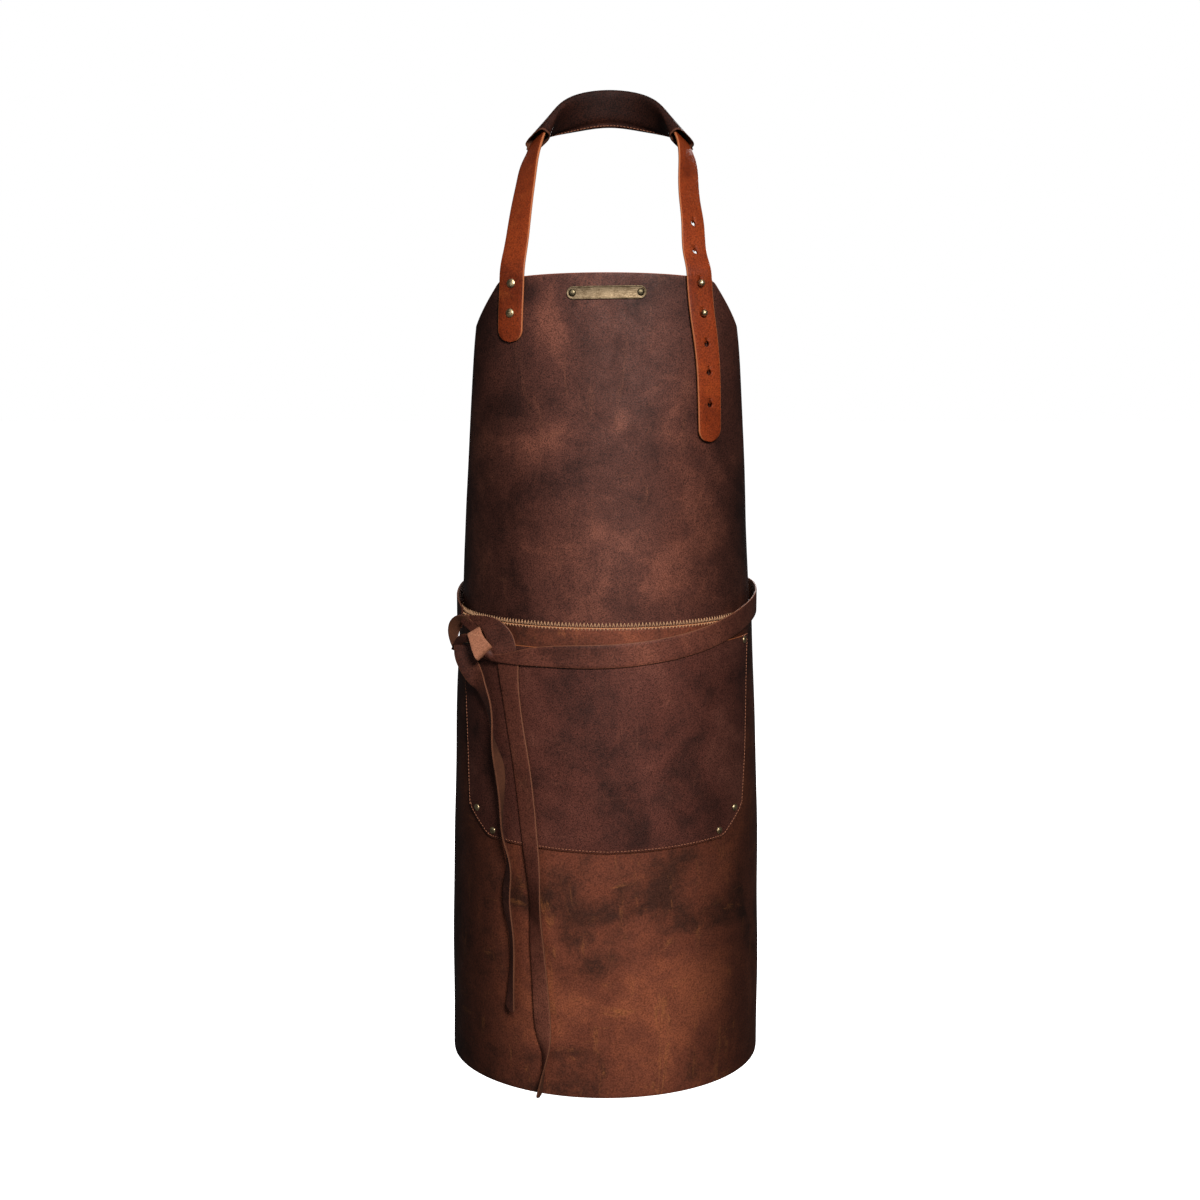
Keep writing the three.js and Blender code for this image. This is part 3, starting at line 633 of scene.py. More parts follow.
def leather(name, *tones, roughness=0.5, rubbed=0.5, grain=1.0, painted_side_shade=0.0, specks=1.0):
    """Pull-up leather: mottled and grained, with rub marks, and a raw edge where the edge attribute is 1.

    The tones are dark, middle, light, rub marks and raw edge. The side-darkening amount is painted shade: how
    much darker it gets away from the front's middle, where the body turns from the light. specks is how
    strongly the grain shows.
    """
    dark, middle, light, rub, raw = colours(tones)
    made, tree, shader = new_material(name)
    plain = position(tree)
    clouds = noise(tree, plain, 9, 4, 0.55, 0.6)
    patches = noise(tree, plain, 45, 8, 0.7, 0.3)
    mottle = blend(tree, clouds, 0.7, patches, 0.3)
    tone = mix(tree, remap(tree, mottle, 0.36, 0.52), dark, middle)
    tone = mix(tree, remap(tree, mottle, 0.5, 0.66), tone, light)

    level = noise(tree, position(tree, (9, 9, 30), 0.12), 1.6, 6, 0.7, 0.6)
    steep = noise(tree, position(tree, (30, 30, 7), -0.6), 1.7, 7, 0.75, 0.8)
    marks = math_node(tree, "MAXIMUM", remap(tree, level, 0.58, 0.76), remap(tree, steep, 0.56, 0.74))
    tone = mix(tree, math_node(tree, "MULTIPLY", marks, rubbed), tone, rub)

    pores = cells(tree, plain, 700 * grain)
    fine = noise(tree, plain, 900 * grain, 3, 0.7)
    speckle = blend(tree, pores, 0.5, fine, 0.8)
    grainy = mix(tree, remap(tree, speckle, 0.4, 0.85), (1.95, 1.9, 1.88, 1), (0.28, 0.25, 0.24, 1))
    tone = mix(tree, specks, tone, grainy, "MULTIPLY")

    # Painted shade: darker towards the sides, away from the front's middle, where the body turns from the
    # light.
    across = add_node(tree, "ShaderNodeSeparateXYZ", {"Vector": plain}).outputs["X"]
    shade_level = remap(tree, math_node(tree, "ABSOLUTE", across, 0), 0.05, 0.165, 1, 1 - painted_side_shade)
    shade_tint = add_node(tree, "ShaderNodeCombineColor", {0: shade_level, 1: shade_level, 2: shade_level}).outputs[0]
    tone = mix(tree, 1.0, tone, shade_tint, "MULTIPLY")

    edge = add_node(tree, "ShaderNodeAttribute", {}, attribute_name="edge").outputs["Fac"]
    torn = remap(tree, blend(tree, edge, 1, patches, 0.3), 0.55, 1.0)
    tone = mix(tree, torn, tone, raw)

    worn = remap(tree, patches, 0.3, 0.75, roughness + 0.1, roughness - 0.08)
    creases = bump(tree, noise(tree, plain, 95, 5, 0.6, 0.4), 0.0005, 0.4)
    pebbles = bump(tree, pores, 0.0003 / grain, 0.6, creases)
    normal = bump(tree, fine, 0.00025, 0.6, pebbles)
    feed(tree, shader, {"Base Color": tone, "Roughness": worn, "Normal": normal, "Specular IOR Level": 0.16})
    return made


def suede(name, *tones):
    """The flesh side: matt and fibrous. The tones are dark and light."""
    dark, light = colours(tones)
    made, tree, shader = new_material(name)
    plain = position(tree)
    nap = noise(tree, plain, 420, 6, 0.75, 1.2)
    clouds = noise(tree, plain, 24, 4)
    tone = mix(tree, remap(tree, math_node(tree, "ADD", nap, clouds), 0.55, 1.45), dark, light)
    normal = bump(tree, nap, 0.0004, 0.7)
    feed(tree, shader, {"Base Color": tone, "Roughness": 0.92, "Normal": normal, "Specular IOR Level": 0.2})
    return made


def waxed_thread(name, *tones):
    """Twisted thread: a fine ripple along each stitch. The tones are dark and light."""
    dark, light = colours(tones)
    made, tree, shader = new_material(name)
    plain = position(tree)
    twist = add_node(
        tree, "ShaderNodeTexWave",
        {"Vector": position(tree, (1, 1, 1), 0.7), "Scale": 330, "Distortion": 1.5, "Detail": 2.0},
    ).outputs["Fac"]
    fuzz = noise(tree, plain, 900, 3)
    tone = mix(tree, math_node(tree, "MULTIPLY", twist, fuzz), light, dark)
    feed(tree, shader, {"Base Color": tone, "Roughness": 0.65, "Normal": bump(tree, twist, 0.0002, 0.6)})
    return made


def antique_brass(name, *tones, rough):
    """Brushed and pitted brass. The tones are tarnish and metal."""
    tarnish, metal = colours(tones)
    made, tree, shader = new_material(name)
    plain = position(tree)
    stain = noise(tree, plain, 110, 8, 0.75, 0.3)
    brushed = noise(tree, position(tree, (120, 120, 1400)), 1.0, 3, 0.6)
    pitted = noise(tree, plain, 1100, 4, 0.7)
    worn = remap(tree, blend(tree, stain, 1, brushed, 0.5), 0.6, 0.85)
    tone = mix(tree, worn, tarnish, metal)
    pits = remap(tree, pitted, 0.3, 0.7, rough - 0.1, rough + 0.12)
    normal = bump(tree, brushed, 0.0001, 0.6, bump(tree, pitted, 0.00022, 0.7))
    feed(tree, shader, {"Base Color": tone, "Roughness": pits, "Normal": normal, "Metallic": 1})
    return made


bib_leather = leather(
    "bib_leather", (48, 25, 20), (76, 43, 35), (108, 64, 51), (128, 80, 60), (146, 76, 48),
    rubbed=0.3, grain=1.3, painted_side_shade=0.72, specks=0.8,
)
# The skirt's raw-edge tone, the last one, is lighter than the other panels': the raw edge's own tan, and
# partly a painted highlight where its top edge faces up to the light.
skirt_leather = leather(
    "skirt_leather", (62, 35, 26), (106, 57, 41), (132, 73, 50), (160, 100, 58), (206, 138, 92),
    rubbed=0.6, grain=0.9, painted_side_shade=0.76, specks=0.45,
)
pocket_leather = leather(
    "pocket_leather", (52, 28, 23), (82, 45, 37), (106, 63, 52), (122, 76, 60), (150, 84, 48),
    rubbed=0.3, grain=1.3, painted_side_shade=0.6, specks=0.75,
)
tie_leather = leather(
    "tie_leather", (66, 35, 27), (94, 52, 41), (116, 68, 53), (136, 86, 64), (116, 72, 52),
    rubbed=0.4, painted_side_shade=0.6, specks=0.6,
)
wrap_leather = leather(
    "wrap_leather", (136, 86, 64), (162, 107, 82), (184, 128, 100), (200, 146, 114), (150, 100, 74),
    rubbed=0.6, specks=0.35,
)
pad_leather = leather(
    "pad_leather", (26, 10, 6), (37, 16, 10), (50, 24, 16), (66, 36, 26), (84, 48, 34),
    roughness=0.65, rubbed=0.25,
)
strap_leather = leather(
    "strap_leather", (94, 34, 12), (120, 48, 20), (144, 64, 28), (170, 90, 44), (172, 100, 62),
    roughness=0.45, rubbed=0.3, specks=0.45,
)
dark_flesh = suede("dark_flesh", (64, 35, 24), (112, 68, 46))
strap_flesh = suede("strap_flesh", (140, 84, 52), (184, 126, 84))
thread = waxed_thread("thread", (132, 90, 64), (202, 156, 116))
pocket_thread = waxed_thread("pocket_thread", (98, 54, 36), (164, 104, 74))
plate_brass = antique_brass("plate_brass", (98, 82, 62), (134, 116, 92), rough=0.55)
rivet_brass = antique_brass("rivet_brass", (120, 94, 62), (216, 194, 152), rough=0.38)
aged_brass = antique_brass("aged_brass", (56, 50, 38), (116, 104, 80), rough=0.4)


# ---- panels ----

def with_side_rims(curve):
    """The curve with extra points close to both of its ends, for the rounded raw edge."""
    shares = np.array([0, 0.1, 0.3])[:, None]
    start = curve[0] + (curve[1] - curve[0]) * shares
    end = curve[-1] + (curve[-2] - curve[-1]) * shares[::-1]
    return np.concatenate([start, curve[1:-1], end])


def rim_steps(curve, other):
    """How far down each column the rim's rings lie, in millimetres, given how the curve slopes there."""
    along = unit(np.gradient(curve, axis=0))
    down = unit(other - curve)
    square = np.abs(along[:, 0] * down[:, 1] - along[:, 1] * down[:, 0])
    return np.array([inset for inset, _ in RIM]) / np.maximum(square, 0.3)[:, None]


def panel(name, top, bottom, lift, materials):
    """A sheet ruled between two curves of [arc, height]. lift(arc, height) is how far it stands off."""
    top, bottom = with_side_rims(top), with_side_rims(bottom)
    length = np.linalg.norm(top - bottom, axis=1)[:, None]
    near = rim_steps(top, bottom) / length
    far = 1 - rim_steps(bottom, top)[:, ::-1] / length
    middle = np.linspace(0, 1, int(length.max() / PANEL_SPACING))[1:-1]
    down = np.concatenate([near, near[:, -1:] + middle * (far[:, :1] - near[:, -1:]), far], axis=1)
    flat = top[:, None] + (bottom - top)[:, None] * down[..., None]
    full = [share for _, share in RIM]
    rows = np.array(full + [1] * len(middle) + full[::-1])
    columns = np.array(full + [1] * (len(top) - 6) + full[::-1])
    share = np.minimum(rows[None, :], columns[:, None])
    raw = np.where(share < 1, 1.0, 0.0)
    arc, height = flat[..., 0], flat[..., 1]
    angle = angle_at_arc(arc, height)
    middle_lift = lift(arc, height)
    outer = skin(angle, height, middle_lift + share * PANEL_THICKNESS / 2)
    inner = skin(angle, height, middle_lift - share * PANEL_THICKNESS / 2)
    rings = np.concatenate([outer, inner[:, ::-1]], axis=1)
    return loft(name, rings, np.concatenate([raw, raw[:, ::-1]], axis=1), materials, "apron")


def bezier(*controls, count):
    """count points along a straight, quadratic or cubic curve."""
    t = np.linspace(0, 1, count)[:, None]
    points = [np.array(p, float) for p in controls]
    while len(points) > 1:
        points = [a + (b - a) * t for a, b in zip(points, points[1:])]
    return points[0]


def outline(start, *legs):
    """Curves joined end to end. Each leg is its control points, its end and its count of points."""
    curves = [np.array([start], float)]
    for *controls, count in legs:
        curves.append(bezier(curves[-1][-1], *controls, count=count)[1:])
    return np.concatenate(curves)


def mirrored(half):
    """A curve given from the centre line to the right, with its mirror image before it."""
    return np.concatenate([half[:0:-1] * (-1, 1), half])


def bib_top_edge():
    top = BIB_LENGTH
    crown = ((65, top), (106, top - 5), 30)
    corner = ((113, top - 6), (118, top - 13), 8)
    chamfer = ((149, top - 51), 14)
    armhole = ((170, 240), (185, 60), (PANEL_HALF_ARC, 34), 110)
    return mirrored(outline((0, top), crown, corner, chamfer, armhole))


def hem_edge():
    straight = np.linspace(0, PANEL_HALF_ARC - HEM_CORNER_RADIUS, 60)
    corner = np.radians(np.linspace(0, 90, 40))[1:]
    across = np.concatenate([straight, straight[-1] + HEM_CORNER_RADIUS * np.sin(corner)])
    drop = np.concatenate([np.zeros(60), HEM_CORNER_RADIUS * (1 - np.cos(corner))])
    return mirrored(np.column_stack([across, drop - SKIRT_LENGTH]))


def build_bib():
    top = bib_top_edge()
    bottom = np.column_stack([top[:, 0], np.full(len(top), -SEAM_LAP)])
    bib = panel("bib_sheet", top, bottom, lambda arc, height: np.zeros_like(arc), [bib_leather, dark_flesh])
    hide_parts("bib_panel")


def build_skirt():
    hem = hem_edge()
    top = np.column_stack([hem[:, 0], np.zeros(len(hem))])
    skirt = panel(
        "skirt_sheet", top, hem, lambda arc, height: np.full_like(arc, SKIRT_OFFSET),
        [skirt_leather, dark_flesh],
    )
    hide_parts("skirt_panel")


# ---- pocket ----

def pocket_side_arc(height):
    return np.interp(height, (POCKET_BOTTOM, POCKET_TOP), (POCKET_LOW_ARC, POCKET_TOP_ARC))


def pocket_lift(arc, height):
    across = 1 - (arc / pocket_side_arc(height)) ** 2
    up = np.clip((height - POCKET_BOTTOM) / (POCKET_TOP - POCKET_BOTTOM), 0, 1)
    return POCKET_OFFSET + POCKET_BULGE * np.maximum(0, across) * np.sqrt(up)


def pocket_low_edge():
    start, low = POCKET_CHAMFER
    end, high = POCKET_LOW_ARC, low + POCKET_CHAMFER_RISE
    return mirrored(outline(
        (0, POCKET_BOTTOM),
        ((start - 4, low - 0.3), 46),
        ((start + 2, low), (start + 6, low + 4), 6),
        ((end - 2, high - 3), 12),
        ((end + 0.8, high), (end + 1.3, high + 5), 5),
    ))


def pocket_stitch_path():
    """Down the left side, along the bottom and up the right side, a little inside the edge."""
    bottom = pocket_low_edge()
    inward = unit(np.gradient(bottom, axis=0)) @ np.array([[0, 1], [-1, 0]])
    low = bottom + inward * STITCH_INSET
    heights = np.linspace(POCKET_TOP - 4, POCKET_RIVETS["side"][1], 40)
    side = np.column_stack([pocket_side_arc(heights) - STITCH_INSET, heights])
    low = low[np.abs(low[:, 0]) < side[-1, 0]]
    flat = np.concatenate([side * (-1, 1), low, side[::-1]])
    arc, height = flat[:, 0], flat[:, 1]
    return skin(angle_at_arc(arc, height), height, pocket_lift(arc, height) + PANEL_THICKNESS / 2 + 0.15)


def build_pocket():
    low = pocket_low_edge()
    share = low[:, 0] / low[-1, 0]
    top = np.column_stack([share * POCKET_TOP_ARC, np.full(len(low), POCKET_TOP)])
    pocket = panel("pocket_sheet", top, low, pocket_lift, [pocket_leather, dark_flesh])
    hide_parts("front_pocket")
    seam = stitches("pocket_stitches", pocket_stitch_path(), "apron", pocket_thread, **POCKET_STITCH)
    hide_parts("pocket_thread")


# ---- waist seam ----

def build_waist_seam():
    """A zigzag over the skirt's raw edge: each leg runs from the bib over the edge to the skirt."""
    # One leg: the share of the way along it, the height and how far it stands off.
    leg = [
        (0, ZIGZAG_TOP, BIB_OUTER - 0.2), (0.1, ZIGZAG_TOP - 0.5, BIB_OUTER + 0.45),
        (0.62, 0.4, BIB_OUTER + 1.0), (0.67, 0.1, SKIRT_OUTER + 0.25),
        (0.97, ZIGZAG_BOTTOM + 0.3, SKIRT_OUTER + 0.3), (1, ZIGZAG_BOTTOM, SKIRT_OUTER - 0.2),
    ]
    # The first point, the last point and the radius of each stitch of thread.
    runs = ((1, 2, 0.42), (3, 4, 0.42), (0, 1, 0.36), (4, 5, 0.36))
    step = ZIGZAG_PITCH / 2
    meshes = []
    for i, arc in enumerate(np.arange(-ZIGZAG_HALF_ARC, ZIGZAG_HALF_ARC, step)):
        ends = (arc, arc + step) if i % 2 else (arc + step, arc)
        points = []
        for share, height, offset in leg:
            where = ends[0] + (ends[1] - ends[0]) * share
            points.append(skin(angle_at_arc(where, height), height, offset))
        meshes += [capsule(points[a], points[b], radius) for a, b, radius in runs]
    points, faces = merge(meshes)
    seam = make_object("waist_stitches", points, faces, [thread], "apron")
    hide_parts("waist_seam_thread")


# ---- neck strap and pad ----

def neck_station(degrees):
    """A point of the strap round the neck and its direction across, at an angle from the nape."""
    angle = math.radians(degrees)
    radial = np.array([math.sin(angle), 0, 0]) + NECK_BACK * math.cos(angle)
    t = min(1, abs(degrees) / (PAD_HALF_ANGLE + 10))
    turn = t**3 * (t * (6 * t - 15) + 10)
    lean = math.radians(NAPE_LEAN + (MOUTH_LEAN - NAPE_LEAN) * turn)
    return [*(NECK_CENTRE + radial * NECK_RADIUS), *(NECK_AXIS * math.cos(lean) + radial * math.sin(lean))]


def neck_frame(degrees):
    """A point of the strap round the neck, the direction across it and the direction out of it."""
    row = np.array(neck_station(degrees))
    tangent = unit(np.subtract(neck_station(degrees + 0.5), neck_station(degrees - 0.5))[:3])
    width = unit(row[3:] - tangent * (row[3:] @ tangent))
    return row[:3], width, np.cross(width, tangent)


def bib_station(x, height, offset, side):
    angle = angle_at_x(x, height)
    out = outward(angle, height)
    across = np.array([-out[1], out[0], 0]) * -side
    return [*skin(angle, height, offset), *across]


def free_stations(points, start, end):
    shares = [(i + 1) / (len(points) + 1) for i in range(len(points))]
    return [
        [*point, *((1 - share) * np.array(start[3:]) + share * np.array(end[3:]))]
        for point, share in zip(points, shares)
    ]


def strap_route():
    """Stations of the neck strap from the riveted tip to the free tip: a point and a direction across."""
    left = [bib_station(x, h, LEFT_STRAP_OFFSET, -1) for x, h in LEFT_ON_BIB]
    right = [bib_station(x, h, RIGHT_STRAP_OFFSET, 1) for x, h in RIGHT_ON_BIB]
    neck = [neck_station(a) for a in np.linspace(-STRAP_ARC_HALF_ANGLE, STRAP_ARC_HALF_ANGLE, 19)]
    rows = np.array([
        *left, *free_stations(LEFT_FREE, left[-1], neck[0]),
        *neck, *free_stations(RIGHT_FREE, neck[-1], right[0]), *right,
    ])
    rows[:, 3:] *= ACROSS_WEIGHT
    return spline(rows, STRAP_STATIONS)


def strap_cutters(path, across, out):
    """A button hole with a short slit above it at each punched height on the right side."""
    on_right = np.flatnonzero((path[:, 0] > 0) & (np.gradient(path[:, 2]) < 0))
    cutters = []
    for height in PUNCHED_HEIGHTS:
        i = on_right[np.argmin(np.abs(path[on_right, 2] - height))]
        spot = path[i], out[i]
        reach = CUT_DEPTH
        drill = [(0, -reach), (BUTTON_HOLE_RADIUS, -reach), (BUTTON_HOLE_RADIUS, reach), (0, reach)]
        points, faces = lathe(drill, 24)
        cutters.append((stand_on(points, spot, 0), faces))
        up = np.cross(across[i], out[i])
        corners = np.array([
            path[i] + across[i] * w + up * u + out[i] * n
            for w in (-SLIT_HALF_WIDTH, SLIT_HALF_WIDTH) for u in (1, SLIT_TOP) for n in (-reach, reach)
        ])
        cutters.append((corners, BOX_FACES))
    return cutters


def build_neck_strap():
    rows = strap_route()
    path, across = rows[:, :3], unit(rows[:, 3:])
    frames = strap_frames(path, across)
    widths = round_tips(path, STRAP_TIP_RADIUS, (0, 1))
    profile = band_outline(STRAP_WIDTH, STRAP_THICKNESS, crown=0.12)
    strap = band("neck_strap_band", path, frames, widths, profile, [strap_leather, strap_flesh], "apron")
    cut_out(strap, strap_cutters(path, *frames))
    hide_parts("neck_strap")


def pad_half_thickness(across, swollen, fold):
    """Half the pad's thickness: a flattened tube with a thin sewn flange along its lower side."""
    middle, reach = (fold + PAD_TUBE_LOW) / 2, (fold - PAD_TUBE_LOW) / 2
    share = np.abs(across - middle) / reach
    tube = swollen * np.maximum(0, 1 - share**PAD_FLATNESS) ** (1 / PAD_FLATNESS)
    flange = PAD_FLANGE * ease(0, 2, across - PAD_SEWN) ** 0.5
    return np.where(across < middle, np.maximum(tube, flange), tube)


def pad_low(degrees):
    """Where the sewn edge lies; it draws in towards the mouths."""
    return PAD_SEWN + PAD_GATHER * ease(PAD_GATHER_ANGLE, PAD_HALF_ANGLE, abs(degrees))


def pad_loop(degrees, wall):
    """One closed loop of the pad's outer face, or of its lining where wall is not 0."""
    mouth = ease(PAD_GATHER_ANGLE, PAD_HALF_ANGLE, abs(degrees))
    lip = ease(PAD_LIP_ANGLE, PAD_HALF_ANGLE, abs(degrees))
    swollen = PAD_SWELL + PAD_MOUTH_SWELL * mouth + PAD_LIP_SWELL * lip - wall
    fold = PAD_FOLD + 0.5 * lip - wall
    low = PAD_LINING_LOW if wall else pad_low(degrees)
    share = (1 - np.cos(np.linspace(0, math.pi, 25))) / 2
    across = low + (fold - low) * share
    half = pad_half_thickness(across, swollen, fold)
    if wall:
        half = half * np.sqrt(np.clip(share * 12, 0, 1))
    middle, width, out = neck_frame(degrees)
    upper = list(zip(across, half))
    lower = [(w, -n) for w, n in upper[-2:0:-1]]
    return [middle + width * w + out * n for w, n in upper + lower]


def build_pad():
    outside = [pad_loop(a, 0) for a in np.linspace(-PAD_HALF_ANGLE, PAD_HALF_ANGLE, 90)]
    inside = [pad_loop(a, PAD_WALL) for a in np.linspace(PAD_HALF_ANGLE - 0.4, 0.4 - PAD_HALF_ANGLE, 60)]
    rings = np.array(outside + inside)
    count, size = rings.shape[:2]
    faces, _ = loft_faces(count, size, ring_closed=True)
    slots = [i // size >= len(outside) for i in range(len(faces))]
    raw = np.zeros((count, size))
    raw[[0, 1, len(outside) - 2, len(outside) - 1]] = 1
    pad = make_object("pad_sleeve", rings.reshape(-1, 3), faces, [pad_leather, dark_flesh], "pad", slots, raw)
    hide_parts("neck_pad")
    for side, face in (("outer", 1), ("inner", -1)):
        path = []
        for degrees in np.linspace(2 - PAD_HALF_ANGLE, PAD_HALF_ANGLE - 2, 80):
            middle, width, out = neck_frame(degrees)
            low = pad_low(degrees) + STITCH_INSET
            path.append(middle + width * low + out * face * (PAD_FLANGE + 0.15))
        row = stitches(f"pad_stitches_{side}", np.array(path), "pad", pocket_thread, **PAD_STITCH)
        if side == "outer":
            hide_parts("pad_thread")


# ---- brass ----

def add_turned(name, profile, spot, offset, node, material=rivet_brass):
    points, faces = lathe(profile)
    piece = make_object(name, stand_on(points, spot, offset), faces, [material], "apron", crease=50)
    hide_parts(node)


def build_rivet(node, spot, inner, outer, radius, material=rivet_brass):
    """A domed head on the outer face and a flat cap behind."""
    head = [(0, inner - outer), (POST_RADIUS, inner - outer), (POST_RADIUS, 0), *dome(radius, 0.5 * radius)]
    add_turned(node + "_head", head, spot, outer, node, material)
    cap = [
        (0, -CAP_THICKNESS), (0.6 * radius, -CAP_THICKNESS), (0.85 * radius, -0.6 * CAP_THICKNESS),
        (0.92 * radius, 0), (0, 0),
    ]
    add_turned(node + "_cap", cap, spot, inner, node + "_back_cap", material)


def build_stud(node, spot, flange_inner, strap_outer):
    """A button stud: a flange on the bib, a neck through the strap, a ball over it, and the screw behind."""
    flange = STUD_FLANGE_RADIUS
    neck_top = strap_outer + 0.4
    middle = neck_top + STUD_BALL_RADIUS * 0.75
    ball = [
        (STUD_BALL_RADIUS * math.cos(a), middle + STUD_BALL_RADIUS * math.sin(a))
        for a in np.radians(range(-48, 90, 11))
    ]
    stud = [
        (0, BIB_INNER), (POST_RADIUS, BIB_INNER), (POST_RADIUS, flange_inner), (flange, flange_inner),
        (flange, flange_inner + STUD_FLANGE * 0.7), (flange * 0.9, flange_inner + STUD_FLANGE),
        (STUD_NECK_RADIUS, flange_inner + STUD_FLANGE), *ball, (0, middle + STUD_BALL_RADIUS),
    ]
    add_turned(node + "_ball", stud, spot, 0, node)
    screw = [
        (0, -CAP_THICKNESS * 0.4), (0.6, -CAP_THICKNESS * 0.4), (0.7, -CAP_THICKNESS),
        (flange * 0.9, -CAP_THICKNESS), (flange, -CAP_THICKNESS * 0.6), (flange, 0), (0, 0),
    ]
    add_turned(node + "_screw_head", screw, spot, BIB_INNER, node + "_screw")


def stadium(inset):
    """A plate outline in from the edge, as [arc, up]; the second half runs back below the first."""
    radius = PLATE_HALF_HEIGHT - inset
    straight = PLATE_HALF_LENGTH - PLATE_HALF_HEIGHT
    turn = np.radians(np.linspace(4, 86, 12))
    end = np.column_stack([straight + radius * np.cos(turn), radius * np.sin(turn)])[::-1]
    flat = np.column_stack([np.linspace(0, straight, 20), np.full(20, radius)])
    upper = mirrored(np.concatenate([flat, end]))
    return np.concatenate([upper, upper[::-1] * (1, -1)])


def build_plate():
    base = BIB_OUTER + GAP
    # From the back of its rim to its field: how far in from the edge, and the rise.
    profile = [(0.3, 0), (0, 0.3), (0, 0.9), (0.35, 1.3), (0.9, 1.35), (1.25, 1.0), (1.6, PLATE_FIELD)]
    rings = []
    for inset, rise in profile:
        shape = stadium(inset)
        height = PLATE_HEIGHT + PLATE_TILT * shape[:, 0] + shape[:, 1]
        rings.append(skin(angle_at_arc(shape[:, 0], height), height, base + rise))
    rings = np.array(rings)
    faces, _ = loft_faces(*rings.shape[:2])
    plate = make_object("name_plate_face", rings.reshape(-1, 3), faces, [plate_brass], "apron", crease=60)
    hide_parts("name_plate")
    for hand, side in (("left", -1), ("right", 1)):
        arc = side * PLATE_RIVET_X
        spot = spot_at_arc(arc, PLATE_HEIGHT + PLATE_TILT * arc)
        build_rivet(f"plate_rivet_{hand}", spot, BIB_INNER, base + PLATE_FIELD, PLATE_RIVET, aged_brass)


def build_fasteners():
    strap_outer = LEFT_STRAP_OFFSET + STRAP_THICKNESS / 2
    for place, (x, height) in zip(("lower", "upper"), LEFT_ON_BIB[1:3]):
        spot = spot_at_angle(angle_at_x(x, height), height)
        build_rivet(f"strap_rivet_{place}", spot, BIB_INNER, strap_outer + 0.1, STRAP_RIVET)
    for place, (x, height) in zip(("upper", "lower"), RIGHT_ON_BIB[1:3]):
        spot = spot_at_angle(angle_at_x(x, height), height)
        build_stud(f"strap_stud_{place}", spot, BIB_OUTER + GAP, RIGHT_STRAP_OFFSET + STRAP_THICKNESS / 2)
    for hand, side in (("left", -1), ("right", 1)):
        for place, (arc, height) in POCKET_RIVETS.items():
            outer = float(pocket_lift(arc, height)) + PANEL_THICKNESS / 2
            spot = spot_at_arc(side * arc, height)
            build_rivet(f"pocket_rivet_{place}_{hand}", spot, SKIRT_INNER, outer, PATCH_RIVET)
        for place, degrees in ANCHOR_RIVETS.items():
            spot = spot_at_angle(math.radians(side * degrees), ANCHOR_HEIGHT)
            build_rivet(f"tie_rivet_{place}_{hand}", spot, SKIRT_INNER, ANCHOR_OUTER, PATCH_RIVET)


# ---- ties and knot ----

def add_tie(name, node, points, width, body="apron", tips=(), above=None, below=None):
    """A length of tie that lies on the body through its rows, and ends at a height where one is given."""
    rows = np.array([[*row, *(0, 1)[len(row) - 3:]] for row in points], float)
    rows[:, 0] *= MM_PER_DEGREE
    rows = spline(rows, int(np.ptp(rows[:, :2], axis=0).max() * 1.3 / TIE_SPACING) + 8)
    if above is not None:
        rows = np.concatenate([rows[rows[:, 1] > above], row_at_height(rows, above)])
    if below is not None:
        rows = np.concatenate([row_at_height(rows, below), rows[rows[:, 1] < below]])
    angle = np.radians(rows[:, 0] / MM_PER_DEGREE)
    path = skin(angle, rows[:, 1], rows[:, 2])
    out = outward(angle, rows[:, 1])
    across = np.cross(unit(np.gradient(path, axis=0)), out)
    roll = np.radians(rows[:, 3:4])
    rolled = unit(across) * np.cos(roll) + out * np.sin(roll)
    widths = round_tips(path, width / 4, tips) * rows[:, 4]
    profile = band_outline(width, TIE_THICKNESS)
    tie = band(name, path, strap_frames(path, rolled), widths, profile, [tie_leather, dark_flesh], body)
    if node:
        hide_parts(node)


def build_ties():
    add_tie("tie_band_left", "waist_tie_left", LEFT_TIE, TIE_WIDTH)
    add_tie("tie_band_right", "waist_tie_right", RIGHT_TIE, TIE_WIDTH)
    for hand, (points, width, top) in TAILS.items():
        add_tie(f"knot_drop_{hand}", None, points, width, above=top)
        add_tie(f"tail_band_{hand}", f"tie_tail_{hand}", points, width, f"tail_{hand}", below=top, tips=(1,))


def build_knot():
    knot = {
        "knot_band_right": ("knot_loop_right", LOOP_RIGHT),
        "knot_band_left": ("knot_loop_left", LOOP_LEFT),
        "knot_fold": (None, LOOP_FOLD),
        "knot_crossing": (None, CROSSING),
        "knot_wrap": ("tie_knot", WRAP),
    }
    for name, (node, edges) in knot.items():
        grain = wrap_leather if name == "knot_wrap" else tie_leather
        strip = edge_band(name, edges, [grain, dark_flesh])
        if node:
            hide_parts(node)
    start, end, radius = KNOT_CORE
    points, faces = capsule(np.array(start, float), np.array(end, float), radius)
    core = make_object("knot_core", points, faces, [tie_leather], "apron")


# ---- camera, light and floor ----

CAMERA_PLACE = [-6.6, -1640, 260.6]
CAMERA_DIP = 8.78
CAMERA_LENS = 44.1
WHITE = (1, 1, 1, 1)


def build_camera():
    lens = bpy.data.cameras.new("camera")
    lens.lens = CAMERA_LENS
    lens.sensor_width = 36
    camera = add_object("camera", lens)
    camera.location = to_row(CAMERA_PLACE)
    camera.rotation_euler = (math.radians(90 - CAMERA_DIP), 0, 0)
    bpy.context.scene.camera = camera


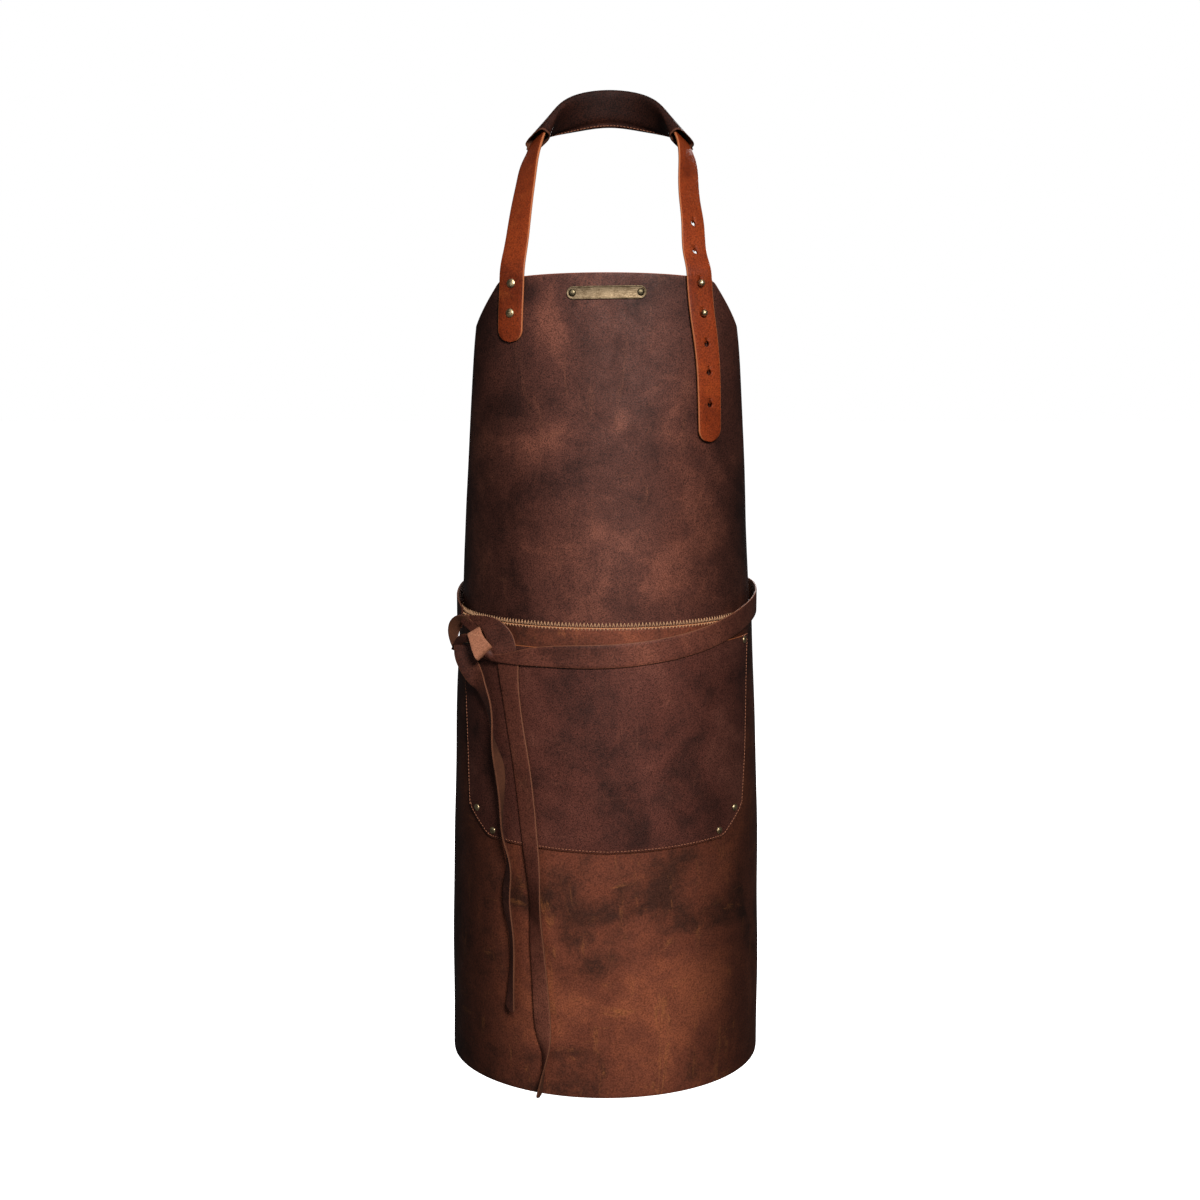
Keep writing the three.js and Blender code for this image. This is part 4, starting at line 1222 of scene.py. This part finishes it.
def add_light(name, place, target, size, power, tint=(1, 1, 1)):
    lamp = bpy.data.lights.new(name, "AREA")
    lamp.size = size
    lamp.energy = power
    lamp.color = tint
    light = add_object(name, lamp)
    light.location = place
    light.rotation_euler = (Vector(target) - Vector(place)).to_track_quat("-Z", "Y").to_euler()


def build_lights():
    chest = (0, 0, -0.5)
    add_light("key", (0.55, -2.5, 0.7), chest, 0.6, 84, (1, 0.98, 0.95))
    add_light("top", (0.15, -0.6, 1.6), (0, 0, -0.2), 0.8, 6)
    add_light("fill_left", (-0.9, -2.2, -0.2), chest, 1.2, 5, (0.92, 0.96, 1))
    add_light("rear", (0.3, 2.2, 0.6), chest, 1.6, 60)
    world = bpy.data.worlds.new("studio")
    bpy.context.scene.world = world
    world.use_nodes = True
    tree = world.node_tree
    seen = add_node(tree, "ShaderNodeLightPath", {}).outputs["Is Camera Ray"]
    dim = add_node(tree, "ShaderNodeBackground", {"Color": WHITE, "Strength": 0.06})
    white = add_node(tree, "ShaderNodeBackground", {"Color": WHITE, "Strength": 1.0})
    both = add_node(tree, "ShaderNodeMixShader", {0: seen, 1: dim.outputs[0], 2: white.outputs[0]})
    tree.links.new(both.outputs[0], tree.nodes["World Output"].inputs["Surface"])


def build_floor():
    reach, level = 30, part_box("skirt_panel")[0].z - 0.25
    mesh = bpy.data.meshes.new("floor")
    corners = [(x * reach, y * reach, level) for x, y in ((-1, -1), (1, -1), (1, 1), (-1, 1))]
    mesh.from_pydata(corners, [], [(0, 1, 2, 3)])
    made, tree, shader = new_material("floor")
    shade = remap(tree, noise(tree, position(tree), 3), 0, 1, 0.93, 0.95)
    tone = mix(tree, shade, (0.5, 0.5, 0.5, 1), WHITE)
    glow = {"Emission Color": WHITE, "Emission Strength": 1.0}
    feed(tree, shader, {"Base Color": tone, "Roughness": 0.9, **glow})
    mesh.materials.append(made)
    floor = add_object("floor", mesh)
    floor.visible_diffuse = False
    floor.visible_glossy = False


build_camera()
build_bib()
build_skirt()
build_pocket()
build_waist_seam()
build_neck_strap()
build_pad()
build_plate()
build_fasteners()
build_ties()
build_knot()
build_lights()
build_floor()
bpy.context.scene.view_settings.view_transform = "Standard"
